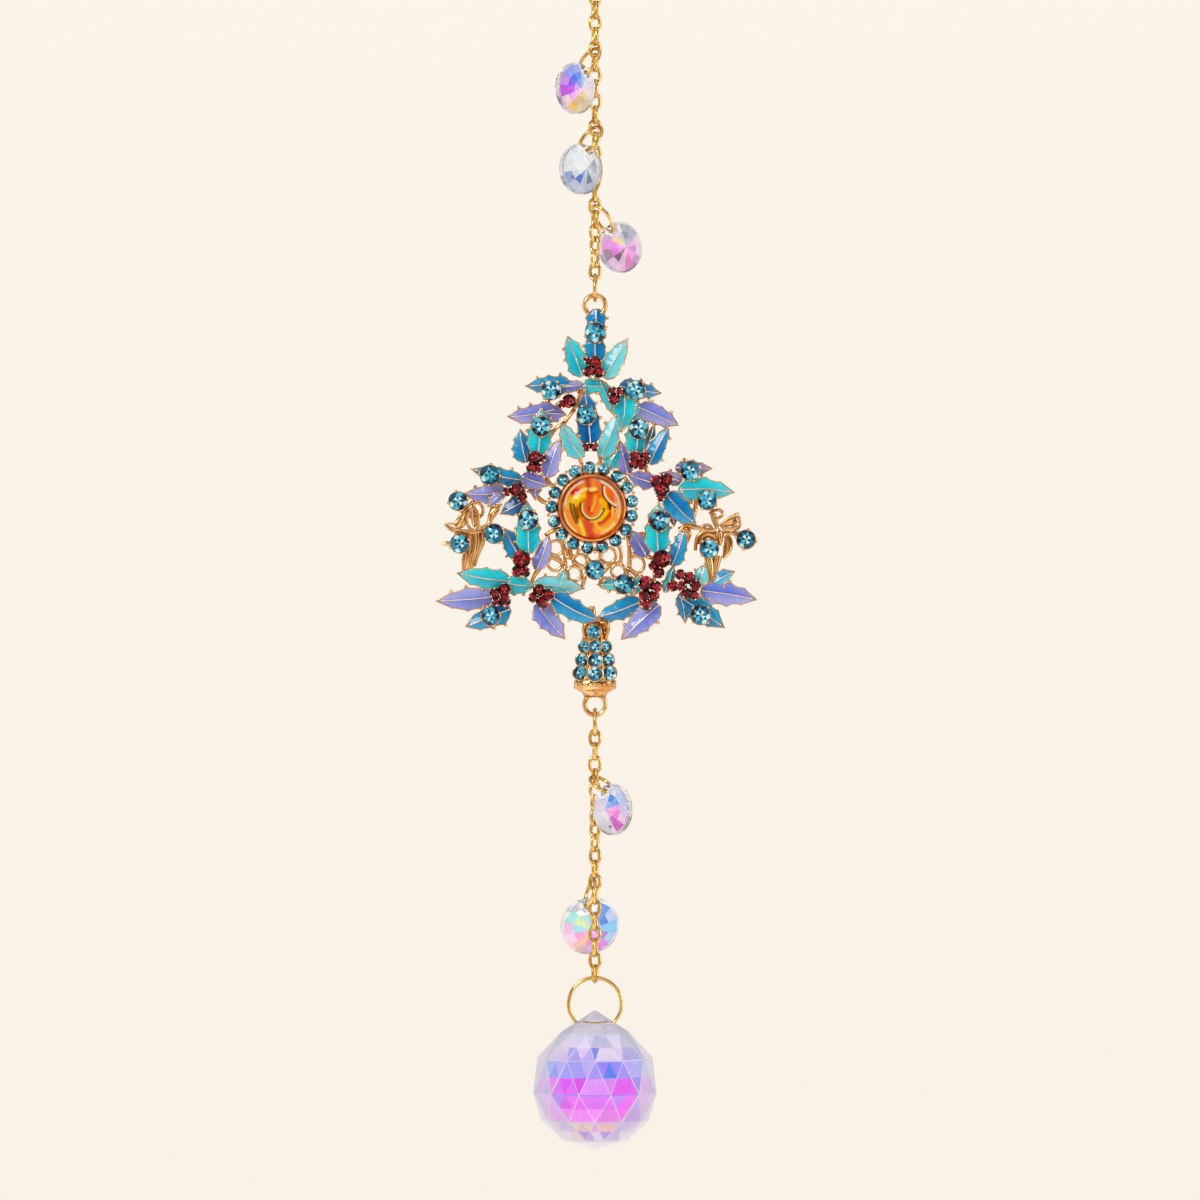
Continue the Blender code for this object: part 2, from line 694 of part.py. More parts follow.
def add_seats(bm, pendant):
    """A round seat under each large stone and each berry cluster."""
    for index, (u, v, radius) in enumerate(STONES):
        rings = ((0.4 + 0.02 * (index % 7), radius * 0.8), (SEAT_TOP, radius * GRID))
        add_frustum(bm, pendant.at(u, v, 0), FORWARD, rings, sides=7)
    for index, cluster in enumerate(BERRIES):
        middle = sum((Vector(berry[:2]) for berry in cluster), Vector((0, 0))) / len(cluster)
        reach = max((Vector(berry[:2]) - middle).length for berry in cluster) + BERRY_SEAT_MARGIN
        rings = ((0.5 + 0.03 * (index % 7), reach * GRID), (BERRY_SEAT_TOP, reach * GRID))
        add_frustum(bm, pendant.at(*middle, 0), FORWARD, rings, sides=6)


def add_casting(pendant, finish):
    """The cast frame: leaves, twigs, trunk, bezel, settings and both loops, joined into one body."""
    leaves, rest = bmesh.new(), bmesh.new()
    for index, leaf in enumerate(LEAVES):
        add_leaf(leaves, pendant, leaf, index)
    for index, twig in enumerate(TWIGS):
        add_twig(rest, pendant, twig, index)
    add_trunk(rest, pendant)
    add_halo(rest, pendant)
    add_bezel(rest, pendant)
    add_seats(rest, pendant)
    for v in (TOP_LOOP_V, BOTTOM_LOOP_V):
        radius = LOOP_OUTER * GRID - LOOP_WIRE / 2
        centre = pendant.at(0, v, BACK_Y)
        add_wire_loop(rest, centre, (0, 0, 1), (1, 0, 0), radius, radius, LOOP_WIRE, segments=12, sides=4)
    casting = add_object("tree_casting", leaves, finish)
    boolean(casting, add_object("tree_settings", rest, finish), "UNION", own_crossings=True)


def add_cabochon(pendant, finish):
    bm = bmesh.new()
    middle = pendant.at(CABOCHON_U, CABOCHON_V, BEZEL_FLOOR + SEAT_GAP)
    straight = BEZEL_HEIGHT - BEZEL_FLOOR
    dome = CABOCHON_HEIGHT - straight
    rings = [(0.0, CABOCHON_RADIUS)]
    for step in range(4):
        angle = math.radians(step * 25)
        rings.append((straight + dome * math.sin(angle), CABOCHON_RADIUS * math.cos(angle)))
    add_frustum(bm, middle, FORWARD, rings, sides=16)
    add_object("cabochon", bm, finish, smooth_below=40)


def add_stones(pendant, finish):
    """The large stones: a table, a sloping crown and a girdle each."""
    for index, (u, v, radius) in enumerate(STONES):
        bm = bmesh.new()
        wide = radius * GRID
        base = SEAT_TOP + SEAT_GAP
        rings = ((base, wide * 0.9), (base + 0.5, wide), (base + STONE_HEIGHT, wide * 0.55))
        add_frustum(bm, pendant.at(u, v, 0), FORWARD, rings, sides=8)
        add_object(f"blue_stone_{index + 1:02d}", bm, finish)


def add_berries(pendant, finish):
    """Red stones in clusters, those of a cluster joined where they touch."""
    for number, cluster in enumerate(BERRIES):
        odd, even = bmesh.new(), bmesh.new()
        for index, (u, v, radius) in enumerate(cluster):
            base = BERRY_SEAT_TOP + SEAT_GAP + 0.02 * index
            wide = radius * GRID
            top = base + BERRY_HEIGHT * radius / 1.5
            rings = ((base, wide * 1.03), (top, wide * 0.5))
            add_frustum((even, odd)[index % 2], pendant.at(u, v, 0), FORWARD, rings, sides=6)
        name = f"berries_{number + 1:02d}"
        berries = add_object(name, even, finish)
        boolean(berries, add_object(name + "_others", odd, finish), "UNION", own_crossings=True)


def main():
    clear_scene()
    gold = material("gold_metal", (0.83, 0.58, 0.24), 0.2, 1.0)
    enamel = material("enamel_casting", (0.06, 0.55, 0.68), 0.25, 0.3)
    blue = material("blue_stone", (0.12, 0.55, 0.68), 0.1, 0.0)
    ruby = material("ruby_stone", (0.35, 0.01, 0.03), 0.1, 0.0)
    amber = material("amber_glass", (0.85, 0.35, 0.03), 0.08, 0.0)
    crystal = material("clear_crystal", (0.92, 0.9, 0.96), 0.03, 0.0)

    hang_inner = HANG_RING_OUTER / 2 - HANG_RING_WIRE
    hang_wire = HANG_RING_WIRE / 2
    _, hang_bottom = add_round_ring(
        "hanging_ring", hang_wire, HANG_RING_OUTER, HANG_RING_WIRE, (1, 0, 0), gold, segments=18, sides=5
    )
    upper_top = hooked_on(hang_bottom, HANG_RING_WIRE, LINK_WIRE)
    upper_middles, upper_bottom = add_chain("chain_upper", upper_top, UPPER_LINKS, UPPER_TURNS, gold)
    connector_top = hooked_on(upper_bottom, LINK_WIRE, CONNECTOR_WIRE)
    _, connector_bottom = add_round_ring(
        "connector_upper", connector_top, CONNECTOR_OUTER, CONNECTOR_WIRE, (0, 1, 0), gold
    )
    loop_radius = LOOP_OUTER * GRID - LOOP_WIRE / 2
    loop_top = hooked_on(connector_bottom, CONNECTOR_WIRE, LOOP_WIRE)
    pendant = Pendant(loop_top - loop_radius)
    add_casting(pendant, enamel)
    add_cabochon(pendant, amber)
    add_stones(pendant, blue)
    add_berries(pendant, ruby)

    loop_bottom = pendant.at(0, BOTTOM_LOOP_V, 0).z - loop_radius
    connector_top = hooked_on(loop_bottom, LOOP_WIRE, CONNECTOR_WIRE)
    _, connector_bottom = add_round_ring(
        "connector_lower", connector_top, CONNECTOR_OUTER, CONNECTOR_WIRE, (0, 1, 0), gold
    )
    lower_top = hooked_on(connector_bottom, CONNECTOR_WIRE, LINK_WIRE)
    lower_middles, lower_bottom = add_chain("chain_lower", lower_top, LOWER_LINKS, LOWER_TURNS, gold)
    ball_ring_top = hooked_on(lower_bottom, LINK_WIRE, BALL_RING_WIRE)
    ball_ring_middle, _ = add_round_ring(
        "ball_ring", ball_ring_top, BALL_RING_OUTER, BALL_RING_WIRE, (1, 0, 0), gold, segments=18, sides=5
    )
    add_ball(ball_ring_middle, crystal)

    chains = {"upper": (upper_middles, UPPER_TURNS), "lower": (lower_middles, LOWER_TURNS)}
    for name, x, y, drop, diameter in DISCS:
        chain, link = DISC_LINK_COUNT[name]
        face, lean, tip = DISC_ANGLES[name]
        middles, turns = chains[chain]
        centre = Vector((x, y, middles[link] - drop))
        hole, normal = add_disc("crystal_" + name, centre, diameter, face, lean, tip, crystal)
        add_jump_ring("jump_ring_" + name, middles[link], link_direction(turns, link), hole, normal, gold)


main()
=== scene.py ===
"""Looks of the crystal suncatcher: enamelled holly-tree pendant, stones, link chain, glass discs and ball.

Lengths are in millimetres and become metres where a mesh is made. The pendant is drawn on its own grid:
u to the right, v up, counted from the middle of the cabochon, and w forward from the pendant's back face.
"""

import math
import random

import bpy
from mathutils import Matrix, Vector


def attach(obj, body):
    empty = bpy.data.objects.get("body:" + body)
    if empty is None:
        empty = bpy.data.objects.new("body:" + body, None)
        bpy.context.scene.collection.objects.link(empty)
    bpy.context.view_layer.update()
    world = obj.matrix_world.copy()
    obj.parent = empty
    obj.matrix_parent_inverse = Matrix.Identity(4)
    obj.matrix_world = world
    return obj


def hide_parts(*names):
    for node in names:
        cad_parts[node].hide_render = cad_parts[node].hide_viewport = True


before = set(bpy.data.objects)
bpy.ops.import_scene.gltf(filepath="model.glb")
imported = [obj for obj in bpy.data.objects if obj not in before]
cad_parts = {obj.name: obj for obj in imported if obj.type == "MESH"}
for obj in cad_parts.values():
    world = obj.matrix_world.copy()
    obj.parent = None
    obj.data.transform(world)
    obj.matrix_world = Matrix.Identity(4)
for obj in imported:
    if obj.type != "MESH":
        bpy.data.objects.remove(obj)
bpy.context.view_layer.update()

MM = 0.001
ROW_BODY = "root"

# Places shared with the solids
TOUCH_GAP = 0.15
SEAT_GAP = 0.12
HANG_RING_OUTER = 18.0
HANG_RING_WIRE = 1.6
LINK_LENGTH = 4.45
LINK_WIDTH = 3.1
LINK_WIRE = 0.72
LINK_BITE = 0.05
UPPER_LINKS = 28
LOWER_LINKS = 19
CONNECTOR_OUTER = 6.8
CONNECTOR_WIRE = 1.0
JUMP_WIRE = 0.7
JUMP_LIFT = 0.15
DISC_SMALL = 12.0
DISC_LARGE = 14.0
DISC_THICKNESS = 5.2
DISC_RIM = 1.2
DISC_HOLE = 2.5
DISC_HOLE_PLACE = 0.76
BALL_DIAMETER = 30.0
BALL_NOSE = 2.6
BALL_RING_OUTER = 13.2
BALL_RING_WIRE = 0.85
BALL_RING_DEPTH = 4.8
GRID = 0.975
BACK_Y = 1.0
LOOP_OUTER = 3.05
LOOP_WIRE = 1.1
TOP_LOOP_V = 48.6
BOTTOM_LOOP_V = -47.2
LEAF_THICKNESS = 1.25
LAYER_RISE = 0.85
CABOCHON_U = -0.7
CABOCHON_V = 0.0
CABOCHON_RADIUS = 7.0
CABOCHON_HEIGHT = 5.2
BEZEL_WALL = 0.8
BEZEL_HEIGHT = 3.2
BEZEL_FLOOR = 1.1
HALO_COUNT = 17
HALO_RADIUS = 9.4
HALO_START = 94.0
SEAT_TOP = 3.0
STONE_HEIGHT = 1.7
BERRY_SEAT_TOP = 2.9
BERRY_HEIGHT = 1.5

# Finer forms that only the looks have
LINK_LOOSE_TURNS = (-20, -24)
LINK_FULLER = 0.16
LINK_WIDER = 0.04
JUMP_FULLER = 0.15
TUNNEL_GAP = 0.3
DRILL_REACH = 8
RIM = 0.15
MIDRIB = 0.16
ENAMEL_SHARES = (0.0, 0.18, 0.42, 0.7, 0.9, 1.0)
STROKE_THINNEST = 0.08
TRUNK_BACK = 0.35
HALO_CUP = ((0.25, 1.2), (1.5, 1.5), (2.0, 1.56), (2.0, 1.3))
# Settings: prongs, height of the seat, flare of the cup, radius, material and inset of a prong
STONE_SETTING = (4, SEAT_TOP, 0.12, 0.42, 0, -0.05)
BERRY_SETTING = (3, BERRY_SEAT_TOP, 0.04, 0.3, 2, 0.25)
# Cut of the discs: wedges, the star's share of radius and height, and the coating's rings as share and height
DISC_WEDGES = 12
DISC_STAR = 0.62
DISC_STAR_RISE = 0.46
COATING_PEAK = 2.25
COATING_RINGS = ((0.34, 1.75), (DISC_STAR, 1.28), (0.93, 0.55))
# Cut of the ball: facets in a row, and the latitude of each row of points with its turn in facets
BALL_SIDES = 12
BALL_WAIST = -6
BALL_ROWS = ((57, 0.5), (26, 0.0), (BALL_WAIST, 0.5), (-33, 0.0), (-58, 0.5))
# Coating of the ball: its size and peak as shares of the radius, and each facet's share inside its border
BALL_COATING = 0.955
BALL_COATING_PEAK = 0.76
BALL_FACET_INSIDE = 0.962
BALL_FACET_SPLIT = ((0, 1, 4, 3), (1, 2, 5, 4), (2, 0, 3, 5), (3, 6, 8), (6, 4, 7), (7, 5, 8), (6, 7, 8))
# Camera: a photo pixel in millimetres, the photo's width, where the pendant is in it, and metres away
PIXEL = 0.24 * GRID
PHOTO_WIDTH = 1200
VIEW_OFFSET = (5, -92)
CAMERA_DISTANCE = 1.6

FORWARD = Vector((0, -1, 0))
RIGHT = Vector((1, 0, 0))
UP = Vector((0, 0, 1))

UPPER_TURNS = ((0, 90), (3, 45), (10, 45), (16, 38), (22, 37), (27, 90))
LOWER_TURNS = ((0, 0), (3, 45), (11, 98), (18, 90))

# Leaves: base u, v, tip u, v, half width, layer, enamel
LEAVES = (
    (0.2, 33.4, 0.3, 44.4, 2.9, 1, "cerulean"),
    (0.3, 47.7, 0.3, 38.6, 2.6, 0, "cerulean"),
    (-3.0, 31.6, -6.7, 41.4, 2.8, 1, "turquoise"),
    (2.2, 31.2, 7.9, 40.7, 2.7, 1, "aqua"),
    (-8.8, 29.0, -1.4, 29.8, 1.6, 0, "lilac"),
    (-3.2, 29.2, 3.6, 29.2, 2.0, 0, "turquoise"),
    (1.2, 30.4, 5.0, 21.8, 1.7, 0, "turquoise"),
    (-5.8, 29.4, -16.8, 29.2, 2.5, 0, "cerulean"),
    (-9.6, 23.8, -21.1, 21.9, 2.6, 0, "lilac"),
    (-12.8, 22.4, -6.8, 22.4, 2.5, 0, "violet"),
    (-13.6, 12.8, -12.7, 24.2, 3.1, 1, "turquoise"),
    (-16.4, 11.0, -18.0, 19.0, 2.7, 0, "cerulean"),
    (-11.6, 7.4, -8.3, 16.9, 2.3, 1, "lilac"),
    (-17.6, 7.6, -10.9, 5.4, 2.3, 1, "violet"),
    (-15.0, 8.0, -14.3, 1.8, 1.9, 0, "violet"),
    (-3.2, 12.0, -8.2, 20.7, 2.4, 1, "aqua"),
    (-1.0, 14.6, -2.5, 28.7, 3.1, 1, "deep"),
    (5.8, 29.2, 16.0, 27.5, 2.4, 0, "cerulean"),
    (7.2, 27.6, 6.2, 18.0, 3.1, 1, "turquoise"),
    (8.8, 20.2, 10.2, 26.4, 1.9, 0, "sky"),
    (10.4, 24.2, 20.1, 19.8, 2.7, 0, "lilac"),
    (9.9, 12.8, 10.3, 22.8, 3.1, 0, "turquoise"),
    (1.6, 12.2, 5.4, 22.6, 2.6, 1, "aqua"),
    (6.2, 14.4, 2.4, 8.6, 2.8, 0, "turquoise"),
    (7.9, 8.0, 5.8, 16.4, 2.0, 0, "violet"),
    (13.0, 10.6, 17.8, 19.8, 2.3, 1, "cerulean"),
    (12.2, 13.2, 14.4, 20.8, 1.2, 0, "cerulean"),
    (14.4, 5.9, 7.6, 8.2, 2.3, 1, "violet"),
    (20.8, 6.2, 15.4, 8.4, 1.7, 0, "lilac"),
    (19.4, 9.7, 28.1, 9.5, 2.1, 0, "violet"),
    (20.0, 4.4, 33.5, 3.7, 3.0, 1, "turquoise"),
    (17.0, 3.4, 24.4, -4.0, 3.1, 1, "cerulean"),
    (17.8, 2.6, 19.0, -4.6, 1.9, 0, "deep"),
    (15.2, -11.0, 15.3, 1.7, 3.2, 1, "turquoise"),
    (18.4, -13.8, 21.4, -4.9, 2.3, 1, "cerulean"),
    (12.4, -11.6, 8.4, -5.2, 2.5, 0, "violet"),
    (-17.4, 6.6, -29.9, 9.4, 2.2, 0, "cerulean"),
    (-21.4, 3.8, -31.6, 3.4, 2.5, 0, "lilac"),
    (-22.4, 3.4, -25.8, 0.2, 1.5, 1, "lilac"),
    (-16.8, 1.8, -22.8, -1.5, 2.4, 0, "deep"),
    (-15.9, -11.0, -16.3, 1.7, 3.2, 1, "turquoise"),
    (-18.0, -12.0, -22.0, -4.8, 2.7, 0, "cerulean"),
    (-14.0, -14.8, -11.0, -6.4, 2.2, 0, "lilac"),
    (-20.2, -17.6, -33.2, -15.6, 2.8, 0, "turquoise"),
    (-21.4, -18.2, -14.2, -18.8, 2.6, 0, "turquoise"),
    (-24.0, -21.4, -38.2, -22.4, 2.9, 0, "lilac"),
    (-20.4, -24.2, -31.1, -28.5, 3.0, 0, "cerulean"),
    (-14.8, -18.6, -2.4, -19.3, 2.5, 0, "aqua"),
    (-8.4, -18.5, -7.0, -14.4, 1.5, 0, "aqua"),
    (-14.0, -23.0, -7.1, -31.5, 3.0, 0, "lilac"),
    (-10.4, -21.2, 1.2, -27.2, 2.9, 1, "cerulean"),
    (11.0, -22.4, 0.2, -26.4, 2.8, 0, "cerulean"),
    (15.2, -23.2, 6.2, -31.7, 3.1, 0, "lilac"),
    (11.4, -19.0, 0.4, -18.4, 2.1, 0, "turquoise"),
    (9.2, -20.6, 11.4, -15.6, 1.5, 0, "turquoise"),
    (16.8, -20.2, 19.0, -13.2, 1.3, 1, "turquoise"),
    (24.6, -18.8, 26.4, -13.2, 2.3, 0, "aqua"),
    (28.4, -18.0, 33.6, -15.2, 2.0, 0, "sky"),
    (25.4, -19.8, 38.9, -22.0, 3.2, 0, "orchid"),
    (20.0, -21.0, 31.2, -28.8, 3.4, 0, "cerulean"),
    (20.4, -20.8, 21.7, -27.8, 1.7, 0, "cerulean"),
)

# Spiked outline of a leaf: share along the midrib and share of the half width
HOLLY = (
    (0.0, 0.32),
    (0.1, 0.74),
    (0.23, 1.04),
    (0.34, 0.86),
    (0.48, 0.98),
    (0.6, 0.72),
    (0.73, 0.72),
    (0.86, 0.34),
    (1.0, 0.0),
)
HOLLY_SPIKES = (2, 4, 6)
SHORT = ((0.0, 0.36), (0.14, 0.8), (0.3, 1.04), (0.46, 0.82), (0.62, 0.84), (0.8, 0.4), (1.0, 0.0))
SHORT_SPIKES = (2, 4)

# Gold bars behind the leaves: u, v of each end
TWIGS = (
    (0.2, 32.4, 0.2, 29.6),
    (-3.0, 29.4, -5.0, 23.6),
    (-5.0, 23.6, -7.4, 20.4),
    (-7.4, 20.4, -11.0, 17.0),
    (-10.6, 27.0, -12.2, 23.8),
    (-12.0, 20.0, -10.2, 22.2),
    (-7.4, 25.2, -4.2, 25.6),
    (-1.6, 15.4, -3.8, 12.0),
    (-3.8, 12.4, -2.6, 8.4),
    (0.6, 14.6, 1.2, 8.4),
    (-14.6, 9.4, -14.2, 6.6),
    (-11.8, 7.4, -8.4, 4.0),
    (-15.0, 4.0, -9.6, 0.6),
    (-17.0, 3.0, -19.5, 8.0),
    (6.4, 10.4, 9.6, 10.8),
    (12.2, 10.2, 13.4, 7.0),
    (7.0, 7.4, 8.6, 4.6),
    (-12.0, -6.6, -8.0, -5.0),
    (-11.4, -11.6, -7.4, -13.8),
    (-8.2, -6.8, -7.0, -13.8),
    (-7.4, -13.8, -6.6, -18.2),
    (-5.4, -7.6, -5.6, -12.0),
    (-5.6, -12.0, -2.0, -14.4),
    (-7.0, -12.0, -5.6, -12.0),
    (-1.8, -15.2, -2.9, -18.8),
    (1.6, -8.4, 0.6, -13.4),
    (2.0, -15.4, 5.6, -13.2),
    (5.2, -8.0, 6.0, -13.4),
    (6.0, -13.2, 8.4, -17.6),
    (7.8, -6.6, 8.2, -14.6),
    (8.2, -11.4, 14.0, -12.2),
    (7.6, -14.4, 10.6, -17.2),
    (-13.2, -14.4, -15.4, -18.4),
    (14.6, -14.0, 14.2, -18.6),
    (14.4, -18.8, 19.2, -18.4),
    (-23.0, -21.8, -24.4, -25.2),
    (20.0, -5.0, 25.4, -4.8),
    (24.2, 2.0, 23.2, -3.4),
    (28.0, 0.0, 29.6, -5.6),
    (25.0, -4.8, 35.4, -6.0),
    (-29.4, 1.8, -28.6, -4.6),
    (-24.6, 0.4, -25.4, -4.0),
    (-26.8, -6.2, -19.2, -6.8),
    (-30.6, -8.6, -35.8, -8.4),
    (-0.6, -23.6, -0.4, -28.0),
)

# Open rings of the lattice under the cabochon: u, v, radius
LATTICE_RINGS = (
    (-5.4, -10.3, 1.3),
    (-0.3, -11.4, 1.5),
    (-3.6, -12.8, 1.6),
    (-5.0, -15.8, 1.7),
    (3.2, -11.4, 1.8),
    (5.6, -15.2, 1.6),
    (9.9, -13.6, 1.9),
    (-9.4, -9.6, 1.7),
    (-9.6, -13.4, 1.6),
    (11.2, -7.4, 1.3),
    (2.4, -18.0, 1.2),
    (-28.8, -0.6, 1.9),
    (33.6, -3.2, 1.2),
    (26.8, -5.4, 1.3),
)

# Gold blossoms at both ends: strokes through u, v, w with a half width and half depth at each point
BLOSSOMS = (
    # Left: lower lip, its petal, the bud and the fluted cup
    ((-36.0, -3.9, 1.6, 0.35, 0.35), (-34.4, -5.1, 1.8, 0.6, 0.5), (-32.0, -5.7, 2.2, 0.65, 0.6),
     (-29.6, -5.8, 2.5, 0.65, 0.6), (-27.4, -5.4, 2.3, 0.6, 0.5), (-26.0, -4.5, 1.9, 0.5, 0.45),
     (-25.2, -3.0, 1.6, 0.35, 0.4)),
    ((-30.8, -0.2, 1.3, 0.4, 0.5), (-31.5, -1.7, 1.4, 0.9, 0.5), (-32.2, -3.4, 1.4, 1.3, 0.5),
     (-33.4, -4.6, 1.3, 0.9, 0.5)),
    ((-30.4, -0.1, 1.9, 0.25, 0.25), (-32.0, -1.4, 2.0, 0.32, 0.3), (-33.3, -3.5, 2.0, 0.32, 0.3),
     (-35.4, -3.8, 1.9, 0.3, 0.3)),
    ((-31.2, -1.6, 2.0, 0.2, 0.2), (-31.8, -3.0, 2.1, 0.24, 0.2), (-31.6, -4.8, 2.2, 0.2, 0.2)),
    ((-29.8, -0.7, 1.7, 0.3, 0.3), (-29.5, -2.4, 1.9, 0.36, 0.3), (-29.1, -4.4, 2.0, 0.25, 0.3)),
    ((-28.2, -4.4, 1.7, 0.3, 0.3), (-27.0, -4.5, 1.7, 0.32, 0.3), (-25.9, -3.8, 1.6, 0.3, 0.3),
     (-25.2, -2.2, 1.5, 0.26, 0.3)),
    ((-25.2, -3.5, 1.3, 0.35, 0.4), (-24.8, -1.9, 1.4, 0.95, 0.45), (-23.7, -0.3, 1.4, 0.85, 0.45),
     (-22.4, 0.9, 1.2, 0.15, 0.3)),
    ((-25.0, -3.2, 1.9, 0.16, 0.2), (-24.5, -1.6, 2.0, 0.2, 0.2), (-22.8, 0.6, 1.7, 0.12, 0.2)),
    ((-30.2, -6.0, 1.5, 1.1, 0.9), (-29.9, -9.0, 1.4, 1.0, 0.9), (-30.5, -12.0, 1.2, 0.9, 0.8),
     (-31.0, -15.0, 0.9, 0.55, 0.5)),
    ((-28.6, -6.0, 1.7, 1.1, 1.0), (-28.6, -9.0, 1.6, 1.0, 1.0), (-29.4, -12.0, 1.3, 0.85, 0.8),
     (-30.1, -15.4, 1.0, 0.45, 0.5)),
    ((-27.0, -5.2, 1.5, 0.7, 0.7), (-27.1, -8.0, 1.4, 0.8, 0.7), (-28.1, -11.0, 1.2, 0.55, 0.6),
     (-28.9, -14.0, 1.0, 0.3, 0.4)),
    ((-31.4, -11.0, 1.2, 0.3, 0.3), (-31.7, -12.6, 1.2, 0.36, 0.3), (-31.6, -15.2, 1.1, 0.3, 0.3)),
    ((-27.9, -6.0, 2.6, 0.18, 0.2), (-28.0, -8.8, 2.5, 0.22, 0.2), (-28.8, -12.0, 2.0, 0.2, 0.2),
     (-29.6, -15.0, 1.5, 0.15, 0.2)),
    ((-36.7, -8.6, 1.2, 0.3, 0.4), (-35.6, -8.5, 1.3, 0.55, 0.5), (-34.2, -8.6, 1.3, 0.5, 0.5)),
    # Right: arch, folded petals, arm, bow, knot and stem
    ((20.2, -5.6, 1.5, 0.35, 0.4), (21.8, -4.1, 1.6, 0.45, 0.4), (24.2, -4.7, 1.8, 0.5, 0.5),
     (26.4, -5.3, 2.0, 0.5, 0.5), (28.2, -5.5, 2.2, 0.45, 0.5), (29.3, -4.8, 2.2, 0.4, 0.4)),
    ((21.8, -4.8, 1.2, 0.65, 0.4), (22.6, -6.2, 1.2, 0.6, 0.4), (22.2, -8.4, 1.1, 0.25, 0.3)),
    ((28.2, -5.8, 1.9, 0.35, 0.4), (26.2, -5.7, 1.9, 0.45, 0.5), (24.7, -6.9, 1.8, 0.5, 0.5),
     (24.2, -8.6, 1.7, 0.45, 0.45), (24.1, -10.2, 1.5, 0.4, 0.4)),
    ((25.2, -8.8, 1.3, 0.8, 0.5), (25.9, -6.9, 1.4, 0.9, 0.6), (27.4, -6.3, 1.4, 0.9, 0.6),
     (28.9, -7.2, 1.4, 0.9, 0.6), (29.5, -9.0, 1.3, 0.7, 0.5)),
    ((29.3, -4.6, 2.0, 0.25, 0.4), (29.7, -6.1, 2.2, 0.85, 0.5), (30.0, -7.6, 2.1, 0.75, 0.5),
     (30.1, -9.0, 1.8, 0.2, 0.4)),
    ((31.5, -6.3, 1.3, 0.45, 0.5), (32.0, -8.0, 1.4, 1.05, 0.6), (31.7, -10.2, 1.3, 1.05, 0.6),
     (30.9, -12.1, 1.1, 0.35, 0.5)),
    ((31.6, -6.8, 2.0, 0.15, 0.2), (32.2, -8.4, 2.1, 0.2, 0.2), (31.4, -11.4, 1.9, 0.15, 0.2)),
    ((30.8, -6.9, 1.4, 0.5, 0.5), (31.8, -6.2, 1.5, 0.45, 0.5), (32.9, -6.0, 1.5, 0.45, 0.5),
     (34.5, -6.9, 1.4, 0.5, 0.5)),
    ((30.0, -3.9, 2.0, 0.3, 0.4), (31.0, -4.9, 2.1, 0.5, 0.5), (32.8, -5.2, 2.1, 0.55, 0.5),
     (34.2, -4.8, 2.0, 0.45, 0.45), (35.0, -4.1, 1.9, 0.3, 0.35)),
    ((30.4, -4.1, 1.3, 0.5, 0.5), (31.6, -3.6, 1.3, 1.0, 0.5), (32.8, -3.1, 1.3, 1.1, 0.5),
     (34.0, -2.6, 1.2, 0.9, 0.4)),
    ((30.6, -3.6, 1.9, 0.25, 0.3), (32.0, -2.5, 2.0, 0.35, 0.3), (34.1, -1.5, 2.0, 0.45, 0.45)),
    ((27.6, -0.9, 1.5, 0.5, 0.5), (28.3, -1.9, 1.7, 0.5, 0.5), (29.1, -3.0, 1.8, 0.45, 0.5),
     (29.4, -4.6, 1.8, 0.4, 0.4)),
    ((28.6, -0.6, 1.5, 0.35, 0.4), (30.0, -0.5, 1.7, 0.4, 0.4), (30.6, -1.4, 1.7, 0.4, 0.4),
     (29.9, -2.3, 1.8, 0.38, 0.4), (29.0, -2.6, 1.8, 0.35, 0.4)),
    ((27.3, -11.4, 1.3, 1.0, 0.8), (27.8, -14.4, 1.3, 0.85, 0.8), (28.2, -17.9, 1.0, 0.35, 0.5)),
    ((29.5, -11.4, 1.4, 1.1, 0.8), (29.1, -14.0, 1.3, 0.75, 0.7), (28.4, -17.6, 1.1, 0.3, 0.4)),
    ((26.3, -11.6, 1.4, 0.25, 0.3), (27.0, -14.6, 1.4, 0.28, 0.3), (27.8, -18.0, 1.2, 0.2, 0.3)),
    # Small wings at the top of the trunk
    ((1.2, -27.6, 2.2, 0.4, 0.5), (2.6, -27.7, 2.4, 0.6, 0.6), (3.1, -29.0, 2.2, 0.55, 0.6),
     (2.6, -31.4, 2.0, 0.35, 0.5)),
    ((-1.2, -27.9, 2.2, 0.4, 0.5), (-2.3, -28.0, 2.4, 0.5, 0.6), (-2.7, -29.2, 2.2, 0.45, 0.6),
     (-2.4, -31.4, 2.0, 0.3, 0.5)),
)

